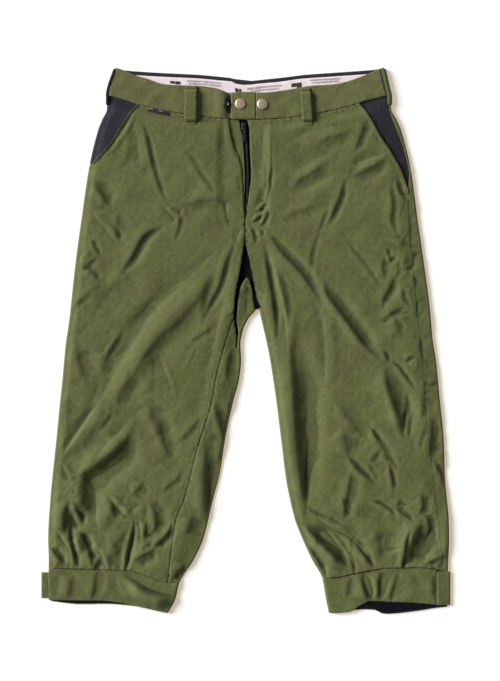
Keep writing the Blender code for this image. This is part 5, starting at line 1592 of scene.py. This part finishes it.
def bands():
    front = band_rows(front_top, lambda x: front_waist(x) + END_GAP / 2)
    back = band_rows(back_top, lambda x: back_waist(x) + END_GAP / 2)
    right_turn, left_turn = turn_line(RIGHT, OUTER, BAND), turn_line(LEFT, OUTER, BAND)

    def right_under(y):
        return RIGHT.outer(y) + 9.0

    def left_seam(y):
        return LEFT.outer(y) - 7.0

    columns = run(FLOOR, right_under, right_turn, 2, close_last=False)[:-1] + upward(OUTER)
    turn = len(columns)
    columns += run(TOP, right_turn, fixed(CURL_END), 84, close_first=False)
    points = patch(RIGHT, columns, BAND_ROWS, front, curled_band, BAND)
    dress(wall("right_waistband", BAND_GREEN, points, BAND, (5, turn + 9, 1), sewn=0.7),
          "waistband_front_right")
    # A black sheet of painted shadow beside the tab.
    dress(painted_end_shadow(), None)

    for name, node, start, end, count, sewn in (
            ("left_waistband", "waistband_front_left", lambda y: left_seam(y) - SEAM_GAP,
             fixed(14.5), 76, 0.7),
            ("waist_tab", "waistband_tab", fixed(14.2), fixed(-20.6), 16, 0.9)):
        points = patch(LEFT, run(TOP, start, end, count), BAND_ROWS, front, soft_band, BAND)
        dress(wall(name, BAND_GREEN, points, BAND, (5, 9, 1), sewn=sewn), node)

    columns = run(TOP, left_seam, left_turn, 2, close_last=False) + downward(OUTER)
    columns += run(FLOOR, left_turn, lambda y: right_under(y) + SEAM_GAP, 60, close_first=False)
    points = patch(LEFT, columns, BAND_ROWS, back, soft_band, BAND)
    dress(wall("back_waistband", CHARCOAL, points, BAND, (5, 30, -1), sewn=0.5),
          "waistband_back")


bands()
print("bands: 4")

# %% Underlap, tape and print bars
UNDERLAP_LEVEL, UNDERLAP = 3.4, 0.9


def underlap():
    """The fly's upper end behind the tab, of which only a slit shows."""
    x, y = np.meshgrid(np.linspace(-28.0, 18.0, 16), np.linspace(348.0, 312.5, 16))
    points = np.stack((x, y, UNDERLAP_LEVEL + 0 * x), axis=-1)
    return wall("fly_underlap_cloth", GREEN, points, UNDERLAP, (2, 2, 1), sewn=0.2)


def strip(name, finish, edge, x, drops, low, rough):
    """A thin strip below an edge function of x. rough: the least and most unevenness."""
    x, drop = x[None], drops[:, None]
    y = edge(x) - drop
    x = np.broadcast_to(x, y.shape)
    z = low + THIN / 2 + np.clip(uneven(x, y), *rough)
    return wall(name, finish, np.stack((x, y, z), axis=-1), THIN, (2, 2, 1), sewn=0.3)


def flat_bars(name, finish, bars, height):
    """Plain bars that follow the cloth. Rows: left x, left y, right x, right y, height of the bar."""
    quads, vertices = [], []
    for left, left_y, right, right_y, tall in bars:
        start = len(vertices)
        vertices += [(left, left_y - tall, height), (right, right_y - tall, height),
                     (right, right_y, height), (left, left_y, height)]
        quads.append((start, start + 1, start + 2, start + 3))
    return mesh_object(name, vertices, quads, finish)


# Columns: first x, last x, drop below the back band's top, bar height, shortest, longest bar
FADED_PRINT = (
    (-82, -34, 8.4, 2.6, 1.0, 3.6), (-80, -36, 12.0, 2.8, 1.0, 3.0), (2, 50, 9.6, 3.2, 1.0, 3.4),
    (6, 46, 13.8, 2.8, 1.0, 2.8), (90, 133, 7.8, 2.6, 1.0, 3.4), (92, 130, 11.4, 2.8, 1.0, 3.0),
)
DARK_PRINT = (
    (-106, -91, 10.8, 5.4, 5.0, 9.0), (64, 78.5, 10.5, 7.5, 5.0, 7.0), (-15, -6, 11.5, 8.0, 4.0, 5.0),
)


def print_bars(seed, rows):
    """Bars where the tape carries print. They form no letters and no picture."""
    draw = np.random.default_rng(seed)
    bars = []
    for first, last, drop, tall, shortest, longest in rows:
        x = first
        while x < last:
            end = min(x + draw.uniform(shortest, longest), last)
            bars.append((x, float(back_top(x)) - drop, end, float(back_top(end)) - drop,
                         tall * draw.uniform(0.6, 1.0)))
            x = end + draw.uniform(0.5, 1.1)
    return bars


ON_TAPE = BAND + SEAM_GAP + THIN + 0.32
dress(strip("inner_waist_tape", TAPE, back_top, np.linspace(-168, 182, 120),
            np.linspace(5.5, 33.5, 18), BAND + SEAM_GAP, (-0.2, 0.25)), "waist_tape")
dress(underlap(), None)
dress(flat_bars("faded_print_bars", FADED, print_bars(61, FADED_PRINT), ON_TAPE), None)
dress(flat_bars("dark_print_bars", GREY, print_bars(67, DARK_PRINT), ON_TAPE), None)
print("underlap: 1, tape: 1, bars:", len(FADED_PRINT) + len(DARK_PRINT), "rows")

# %% Belt loops
LOOP_CLOTH, LOOP_RISE = 2.4, 3.0


def front_loop(name, node, top_x, foot_x, width, top_y, foot_y):
    """A strap with its feet on the band's top edge and on the front, and a low arch between."""
    on_band = WAIST_LEVEL + BAND / 2 + SEAM_GAP + LOOP_CLOTH / 2
    on_front = WAIST_LEVEL + CLOTH / 2 + SEAM_GAP + LOOP_CLOTH / 2
    arch = on_band + LOOP_RISE
    length = top_y - foot_y
    course = ((0, on_band), (4, on_band), (8, arch), (length / 2, arch + 0.2),
              (length - 9, arch - 0.3), (length - 5, on_front), (length, on_front))
    down = np.unique(np.concatenate((np.linspace(0, length, 44), (0.5, length - 0.5))))
    z = curve(course)(down)
    part = (down / length)[:, None]
    side = np.unique(np.concatenate((np.linspace(-0.5, 0.5, 11), (-0.465, 0.465))))[None]
    x = top_x + part * (foot_x - top_x) + side * width
    y = np.broadcast_to((top_y - down)[:, None], x.shape)
    points = np.stack((x, y, np.broadcast_to(z[:, None], x.shape)), axis=-1)
    dress(wall(name, GREEN, points, LOOP_CLOTH, (5, 5, 1), sewn=0.7), node)


def side_loop(name, node, leg, finish, last_angle, reach):
    """A belt loop round the side edge, made from the band's own points."""
    edge = turn_line(leg, OUTER, BAND)
    columns = [(OUTER, angle) for angle in np.linspace(-30, last_angle, 11)]
    if reach:
        columns += [(TOP, edge), (TOP, lambda y: edge(y) + leg.inward * reach)]
    rows = np.append(np.linspace(380.5, SIDE_WAIST_Y, 24), np.linspace(341.5, 331.5, 6))
    points = patch(leg, columns, rows, lambda v, x, y, kind: v + 0 * x,
                   lambda x, y: WAIST_LEVEL + 0 * (x + y), BAND)
    up = (10, len(columns) - 1, 1)
    points = raised(points, up, BAND, CLOTH)
    dress(wall(name, finish, points, CLOTH, up, sewn=0.5), node)


FRONT_LOOPS = (
    ("right_front_loop", "belt_loop_front_right", -76.5, -77, 16.5, 357, 302),
    ("left_front_loop", "belt_loop_front_left", 83, 87, 14.5, 354, 302),
)
for row in FRONT_LOOPS:
    front_loop(*row)
side_loop("right_side_loop", "belt_loop_side_right", RIGHT, BLACK, 64, 0)
side_loop("left_side_loop", "belt_loop_side_left", LEFT, GREEN, 78, 1.8)
print("belt loops: 4")

# %% Label
LABEL_LOW = WAIST_LEVEL + CLOTH / 2 + SEAM_GAP
LABEL_LINES = ((-136.4, 326.6, -130, 325.1, 1.0), (-121.6, 323.0, -116, 321.8, 0.7))
dress(strip("plain_label", GREY, front_waist, np.linspace(-137, -107.5, 30),
            np.linspace(0.5, 6.3, 10), LABEL_LOW, (-0.1, 0.2)), "label")
dress(flat_bars("label_lines", FADED, LABEL_LINES, LABEL_LOW + THIN + 0.25), None)
print("label: 1, left without words")

# %% [markdown]
# ## Knee cuffs
# A cuff is a doubled band that the gathered leg is sewn to. It opens at the outer side, where
# its end laps over as a tab, and a black lining shows below the hem.

# %% Cuffs, linings and tabs
cuff_uneven = reader(waves(31, 30, 14, 40, 0.30))
CUFF_FOLDS = (
    (0.8, 2.6, (-208, -312), (-209, -330), (-212, -346), (-220, -368)),
    (-0.3, 3, (-200, -316), (-202, -340), (-208, -364)),
    (0.35, 4, (-243, -320), (-246, -345), (-251, -366)),
    (-0.3, 4, (-258, -320), (-262, -345), (-264, -366)),
    (1.2, 5.5, (-174, -328), (-154, -340), (-132, -352), (-92, -363)),
    (-0.3, 4, (-180, -320), (-178, -345), (-166, -372)),
    (0.7, 2.2, (-142, -314), (-120, -325), (-94, -331)),
    (0.5, 2.4, (146, -326), (143, -344), (138, -362)),
    (0.85, 3.2, (162, -320), (163, -338), (172, -368)),
    (0.9, 2.0, (165, -330), (168, -348), (178, -366)),
    (-0.5, 2.0, (172, -324), (178, -345), (184, -366)),
    (0.95, 3.0, (188, -316), (187, -338), (181, -368)),
    (-0.4, 2.0, (194, -324), (193, -345), (190, -366)),
    (0.9, 2.0, (214, -318), (208, -338), (198, -372)),
    (-0.3, 4, (228, -322), (221, -345), (216, -366)),
    (0.6, 2.0, (264, -318), (262, -340), (263, -370)),
)
creases = reader(add_folds(np.zeros_like(GRID_X), CUFF_FOLDS, np.ones_like(GRID_X)))
CUFF_LOWEST, LINING = CUFF_LEVEL - 0.8, 0.6


def soft_cuff(x, y):
    raw = CUFF_LEVEL + cuff_uneven(x, y) + creases(x, y)
    return CUFF_LOWEST + SOFT_STOP * np.logaddexp(0.0, (raw - CUFF_LOWEST) / SOFT_STOP)


CUFF_ROWS = np.unique(np.concatenate((np.linspace(0.0, 1.0, 24), (0.01, 0.025, 0.975, 0.99))))


def cuff_pieces(side, leg, open_edge, floor_edge):
    """A cuff and its lining. The edges are where the cuff opens, on top and on the table."""
    into = -leg.inward
    turn = turn_line(leg, INNER, CUFF)
    columns = run(TOP, fixed(open_edge), turn, 84, close_last=False) + downward(INNER)
    columns += run(FLOOR, turn, fixed(floor_edge), 40, close_first=False)
    points = patch(leg, columns, CUFF_ROWS, cuff_rows(leg), soft_cuff, CUFF)
    dress(wall(f"{side}_cuff_cloth", GREEN, points, CUFF, (5, 20, 1), sewn=0.9),
          f"cuff_{side}")

    def lining_rows(v, x, y, kind):
        return leg.seam(x) - 4.0 + v * (leg.back_hem(x) + 1.2 - leg.seam(x) + 4.0)

    columns = run(TOP, fixed(turn(-378.0) + into * 3.0), fixed(floor_edge - into * 2.0), 50)
    points = patch(leg, columns, np.linspace(0.0, 1.0, 16), lining_rows,
                   lambda x, y: CUFF + SEAM_GAP + LINING / 2 + 0.25 * (1 + np.sin(2 * y + 0.2 * x)),
                   LINING)
    dress(wall(f"{side}_cuff_lining", BLACK, points, LINING, (5, 20, 1), sewn=0.1),
          f"cuff_lining_{side}")


cuff_pieces("right", RIGHT, -276.0, -273.5)
cuff_pieces("left", LEFT, 267.0, 282.5)


def cuff_tab(name, node, ys, left, right, low, fall=0.0):
    y = np.linspace(ys[0], ys[-1], 22)[:, None]
    x = np.linspace(left, right, 14)[None]
    middle = np.broadcast_to(low + CUFF / 2 - fall * (x - left) / (right - left) + 0 * y, (22, 14))
    x, y = np.broadcast_arrays(x, y)
    points = np.stack((x, y, middle + np.clip(uneven(x, y), 0, 0.2)), axis=-1)
    dress(wall(name, GREEN, points, CUFF, (5, 5, 1), sewn=0.9), node)


cuff_tab("right_cuff_tab", "cuff_tab_right", (-324, -360), -286.5, -273.5 - SEAM_GAP, 0.0)
cuff_tab("left_cuff_tab", "cuff_tab_left", (float(LEFT.seam(276.0)) - 1.5, float(LEFT.hem(276.0))),
         267.0 + SEAM_GAP, 286.5, CUFF_LEVEL - CUFF / 2, 1.6)
print("cuffs: 2, linings: 2, tabs: 2")

# %% [markdown]
# ## Topstitching
# Lines of stitches run beside every seam. One stitch is a short bead of thread, and Geometry
# Nodes set thousands of them along drawn lines: the line is resampled at the stitch pitch and
# a bead is turned to lie along it.

# %% Stitch tree
def bead_tree(name):
    """Beads along lines. Inputs: the lines, pitch, bead length, bead width and a material."""
    tree = bpy.data.node_groups.new(name, "GeometryNodeTree")
    face = tree.interface
    face.new_socket("Lines", in_out="INPUT", socket_type="NodeSocketGeometry")
    for label, value in (("Pitch", 2.8 * MM), ("Bead length", 2.1 * MM), ("Bead width", 0.45 * MM)):
        face.new_socket(label, in_out="INPUT", socket_type="NodeSocketFloat").default_value = value
    face.new_socket("Finish", in_out="INPUT", socket_type="NodeSocketMaterial")
    face.new_socket("Beads", in_out="OUTPUT", socket_type="NodeSocketGeometry")
    given, result = add_node(tree, "NodeGroupInput"), add_node(tree, "NodeGroupOutput")
    wide = given.outputs["Bead width"]
    lines = add_node(tree, "GeometryNodeMeshToCurve", Mesh=given.outputs["Lines"])
    even = add_node(tree, "GeometryNodeResampleCurve", mode="LENGTH", Curve=lines.outputs[0],
                    Length=given.outputs["Pitch"])
    bead = add_node(tree, "GeometryNodeMeshUVSphere", Segments=6, Rings=4, Radius=0.5)
    size = add_node(tree, "ShaderNodeCombineXYZ", X=given.outputs["Bead length"], Y=wide, Z=wide)
    tangent = add_node(tree, "GeometryNodeInputTangent")
    aim = add_node(tree, "FunctionNodeAlignEulerToVector", axis="X", Vector=tangent.outputs[0])
    wobble = add_node(tree, "FunctionNodeRandomValue", data_type="FLOAT", Seed=7)
    wobble.inputs[2].default_value, wobble.inputs[3].default_value = 0.85, 1.1
    varied = add_node(tree, "ShaderNodeVectorMath", operation="SCALE", Scale=wobble.outputs[1])
    tree.links.new(size.outputs[0], varied.inputs[0])
    lay = add_node(tree, "GeometryNodeInstanceOnPoints", Points=even.outputs[0],
                   Instance=bead.outputs["Mesh"], Rotation=aim.outputs[0], Scale=varied.outputs[0])
    real = add_node(tree, "GeometryNodeRealizeInstances", Geometry=lay.outputs[0])
    finish = add_node(tree, "GeometryNodeSetMaterial", Geometry=real.outputs[0],
                      Material=given.outputs["Finish"])
    tree.links.new(finish.outputs[0], result.inputs[0])
    return tree


beads = bead_tree("beads_on_lines")
print("tree:", beads.name)


def line_mesh(name, lines):
    """One mesh of loose edges from many lines of points in millimetres."""
    vertices, edges = [], []
    for line in lines:
        start = len(vertices)
        vertices += [(x * MM, (y + SHIFT_Y) * MM, z * MM) for x, y, z in line]
        edges += [(start + i, start + i + 1) for i in range(len(line) - 1)]
    mesh = bpy.data.meshes.new(name)
    mesh.from_pydata(vertices, edges, [])
    return add_object(name, mesh)


def grow(thing, tree, **values):
    """Run a Geometry Nodes tree on a guide and keep only the plain mesh that it makes."""
    modifier = thing.modifiers.new(tree.name, "NODES")
    modifier.node_group = tree
    ids = {item.name: item.identifier for item in tree.interface.items_tree if item.in_out == "INPUT"}
    for label, value in values.items():
        modifier[ids[label.replace("_", " ")]] = value
    bpy.context.view_layer.update()
    ready = thing.evaluated_get(bpy.context.evaluated_depsgraph_get())
    mesh = bpy.data.meshes.new_from_object(ready)
    mesh.shade_smooth()
    made = add_object(thing.name + "_done", mesh)
    bpy.data.objects.remove(thing, do_unlink=True)
    return made

# %% Stitch lines
ON_CLOTH, ON_BAND, ON_CUFF = CLOTH / 2 + 0.12, BAND / 2 + 0.12, CUFF / 2 + 0.12


def along_y(edge, offset, top, foot, height, over, step=3.0):
    """A line beside an edge function of y, that much over a height function."""
    y = np.arange(top, foot, -step)
    return [(a, b, float(height(a, b)) + over) for a, b in zip(edge(y) + offset, y)]


def along_x(edge, offset, first, last, height, over):
    """A line beside an edge function of x, that much over a height function."""
    x = np.arange(first, last, 3.0)
    return [(a, b, float(height(a, b)) + over) for a, b in zip(x, edge(x) + offset)]


# The two lines of the fly's J, then its hook towards the zip
FLY_STITCHES = (
    ((37.5, 309), (37.5, 262), (37, 240), (35.5, 220), (33, 204), (27, 190), (17, 178), (7, 170)),
    ((35, 309), (35, 262), (34.5, 240), (33, 220), (30.5, 206), (25, 193), (15.5, 181), (7, 174)),
)
# Lines beside a seam. Columns: edge function, offset from it, first y, last y, height over the front
FRONT_STITCHES = (
    (right_front_edge, -2.0, 306, 172, ON_CLOTH),                     # beside the fly
    (right_front_edge, -2.2, 164, 60, ON_CLOTH),                      # from there to the crotch
    (left_front_edge, 2.2, 164, 60, ON_CLOTH),
    (right_front_edge, -2.0, 20, -330, ON_CLOTH),                     # inseam of the right leg
    (right_front_edge, -7.0, 10, -330, ON_CLOTH),
    (left_side_seam, -2.0, 204, -320, ON_CLOTH),
    (left_side_seam, -7.0, 204, -320, ON_CLOTH),
    (right_pocket, WELT_WIDTH_RIGHT + 1.6, 330, 240, ON_CLOTH),       # pocket mouths
    (right_pocket, 1.0, 330, 244, ON_CLOTH + THIN),
    (left_pocket, -WELT_WIDTH_LEFT - 1.6, 330, 214, ON_CLOTH),
    (left_pocket, -1.2, 330, 216, ON_CLOTH + THIN),
)
lines = [[(x, y, float(front_height(x, y)) + ON_CLOTH) for x, y in smooth_path(path, 2.0)]
         for path in FLY_STITCHES]
for edge, offset, top, foot, over in FRONT_STITCHES:
    lines.append(along_y(edge, offset, top, foot, front_height, over))
for first, last in ((-186, -24.5), (-19.5, 13.0), (16.0, 194.0)):     # the three parts of the band
    lines.append(along_x(front_top, -2.0, first, last, soft_band, ON_BAND))
    lines.append(along_x(front_waist, 2.4, first, last, soft_band, ON_BAND))
for end in (-19.0, 12.6, 16.2):
    lines.append(along_y(fixed(end), 0.0, 346, 313, soft_band, ON_BAND, step=2.0))
for leg, first, last in ((RIGHT, -273.5, -100.0), (LEFT, 112.0, 265.0)):
    lines.append(along_x(leg.seam, -2.4, first, last, soft_cuff, ON_CUFF))
    lines.append(along_x(leg.hem, 2.4, first, last, soft_cuff, ON_CUFF))
ON_LOOP = WAIST_LEVEL + BAND / 2 + SEAM_GAP + LOOP_CLOTH + LOOP_RISE + 0.2
for name, node, top_x, foot_x, width, top_y, foot_y in FRONT_LOOPS:
    for side in (-1, 1):
        x = top_x + side * (width / 2 - 2.2)
        lines.append([(x + (foot_x - top_x) * t, top_y - 9 - t * (top_y - foot_y - 19), ON_LOOP)
                      for t in np.linspace(0, 1, 16)])
stitches = grow(line_mesh("stitches", lines), beads, Finish=THREAD)
stitches.name = "topstitching"
dress(stitches, None)
print("stitch lines:", len(lines), "faces:", len(stitches.data.polygons))

# %% [markdown]
# ## Zip
# A moulded zip: rows of small teeth that mesh in the middle, a slider and its pull. The same
# node tree sets the teeth, from the left and from the right, half a pitch apart.

# %% Zip teeth
TOOTH_PITCH, CHAIN_TOP, CHAIN_END = 2.4, 295.5, 169.5
tooth_lines = []
for side, shift in ((-1, 0.0), (1, TOOTH_PITCH / 2)):
    y = np.arange(CHAIN_TOP - shift, CHAIN_END, -TOOTH_PITCH / 2)
    tooth_lines.append([(float(zip_centre(v)) + side * 0.75, v, over_tape + 0.75) for v in y])
teeth = grow(line_mesh("teeth", tooth_lines), beads, Pitch=TOOTH_PITCH * MM,
             Bead_length=1.7 * MM, Bead_width=2.9 * MM, Finish=BLACK_METAL)
teeth.name = "zip_teeth"
dress(teeth, "zip_chain")
print("teeth faces:", len(teeth.data.polygons))

# %% Slider and pull keep their solids and take their finish
for node in ("zip_slider", "zip_pull"):
    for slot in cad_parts[node].material_slots:
        slot.material = BLACK_METAL
print("slider and pull: the solids themselves, with the dark metal")

# %% [markdown]
# ## Snaps and button
# A snap's cap is a pressed disc with a rolled rim and a shallow dish. The button is black and
# glossy with a raised rim. Both are turned from a short profile.

# %% Snap caps and button
SEGMENTS = 64


def turned(name, finish, profile, centre):
    """A turned piece about a vertical axis. profile: radius and height, from the foot up."""
    angles = [2 * math.pi * i / SEGMENTS for i in range(SEGMENTS)]
    shape = bmesh.new()
    previous = None
    for radius, height in profile:
        circle = [shape.verts.new(((centre[0] + radius * math.cos(angle)) * MM,
                                   (centre[1] + SHIFT_Y + radius * math.sin(angle)) * MM,
                                   (centre[2] + height) * MM)) for angle in angles]
        if previous:
            for i in range(SEGMENTS):
                j = (i + 1) % SEGMENTS
                shape.faces.new((previous[i], previous[j], circle[j], circle[i]))
        else:
            shape.faces.new(circle[::-1])
        previous = circle
    shape.faces.new(previous)
    mesh = bpy.data.meshes.new(name)
    shape.to_mesh(mesh)
    shape.free()
    mesh.shade_smooth()
    mesh.set_sharp_from_angle(angle=math.radians(50))
    mesh.materials.append(finish)
    return add_object(name, mesh)


SNAP = ((7.4, 0.0), (7.7, 0.15), (7.7, 0.45), (7.4, 0.7), (7.0, 0.75), (6.8, 0.95), (6.4, 1.35),
        (5.8, 1.6), (4.9, 1.72), (4.5, 1.62), (4.1, 1.66), (3.0, 1.8), (1.5, 1.88), (0.4, 1.9))
SNAP_BASE = WAIST_LEVEL + BAND / 2 + SEAM_GAP + TAB_RISE
for part, x, y in (("tab", -7.3, 332.0), ("band", 23.5, 331.5)):
    snap = turned(f"{part}_snap", NICKEL, SNAP, (x, y, SNAP_BASE))
    dress(snap, f"snap_cap_{part}")
BUTTON = ((3.9, 0.0), (4.2, 0.25), (4.2, 1.0), (3.9, 1.5), (3.5, 1.7), (3.1, 1.6), (2.7, 1.2),
          (2.2, 1.05), (1.0, 1.0), (0.3, 1.0))
dress(turned("black_button", PLASTIC, BUTTON, (-27.2, 332.0, SNAP_BASE + 0.2)),
      "waist_button")
print("snaps: 2, button: 1")

# %% [markdown]
# ## What each sheet of cloth was cut to
# Each cloth piece is listed with the flat size of its cut: the piece as it lies, plus a
# seam allowance of 10 mm at each sewn edge, and the spare length that the gathers take up.

# %% Flat cuts
# Columns: piece, flat width, flat length, cut area as a part of that rectangle, how it is
# held, what it lies on
CUTS = (
    ("right_back_cloth", 320, 720, 0.80, "laid", ()),
    ("left_back_cloth", 320, 720, 0.80, "laid", ()),
    ("right_front_cloth", 285, 700, 0.82, "laid", ("right_back_cloth",)),
    ("left_front_cloth", 285, 700, 0.80, "laid", ("left_back_cloth",)),
    ("right_pocket_facing", 60, 150, 0.62, "laid", ("right_back_cloth",)),
    ("left_pocket_facing", 60, 150, 0.62, "laid", ("left_back_cloth",)),
    ("right_pocket_welt", 10, 150, 0.66, "folded", ("right_front_cloth",)),
    ("left_pocket_welt", 10, 150, 0.62, "folded", ("left_front_cloth",)),
    ("gusset_cloth", 46, 90, 0.95, "laid", ("right_back_cloth", "left_back_cloth")),
    ("zip_tape_cloth", 30, 150, 0.95, "laid", ("right_back_cloth", "left_back_cloth")),
    ("fly_extension_cloth", 26, 124, 0.95, "laid", ("zip_tape_cloth",)),
    ("fly_underlap_cloth", 46, 36, 1.0, "laid", ("inner_waist_tape",)),
    ("back_waistband", 400, 42, 1.0, "folded", ()),
    ("right_waistband", 188, 42, 0.98, "folded", ("back_waistband",)),
    ("left_waistband", 180, 42, 0.98, "folded", ("back_waistband",)),
    ("waist_tab", 36, 40, 0.98, "folded", ("fly_underlap_cloth",)),
    ("inner_waist_tape", 352, 30, 1.0, "laid", ("back_waistband",)),
    ("right_front_loop", 17, 57, 1.0, "folded", ("right_waistband", "right_front_cloth")),
    ("left_front_loop", 15, 54, 1.0, "folded", ("left_waistband", "left_front_cloth")),
    ("right_side_loop", 10, 50, 1.0, "folded", ("right_waistband",)),
    ("left_side_loop", 12, 52, 1.0, "folded", ("back_waistband",)),
    ("plain_label", 30, 12, 0.6, "laid", ("right_pocket_facing",)),
    ("right_cuff_cloth", 370, 48, 1.0, "folded", ()),
    ("left_cuff_cloth", 385, 48, 1.0, "folded", ()),
    ("right_cuff_lining", 180, 40, 1.0, "laid", ("right_cuff_cloth",)),
    ("left_cuff_lining", 190, 48, 1.0, "laid", ("left_cuff_cloth",)),
    ("right_cuff_tab", 13, 36, 1.0, "folded", ()),
    ("left_cuff_tab", 20, 46, 1.0, "folded", ("left_cuff_cloth",)),
)
ON_SHEET = {"plain_label": ["label_lines"],
            "inner_waist_tape": ["faded_print_bars", "dark_print_bars"]}
for name, width, length, share, held, under in CUTS:
    on_it = [bpy.data.objects[piece] for piece in ON_SHEET.get(name, ())]
    list(under)
print("sheets:", len(CUTS), "of", len(SHEET_AREAS))
print({name: round(area, 4) for name, area in SHEET_AREAS.items()})
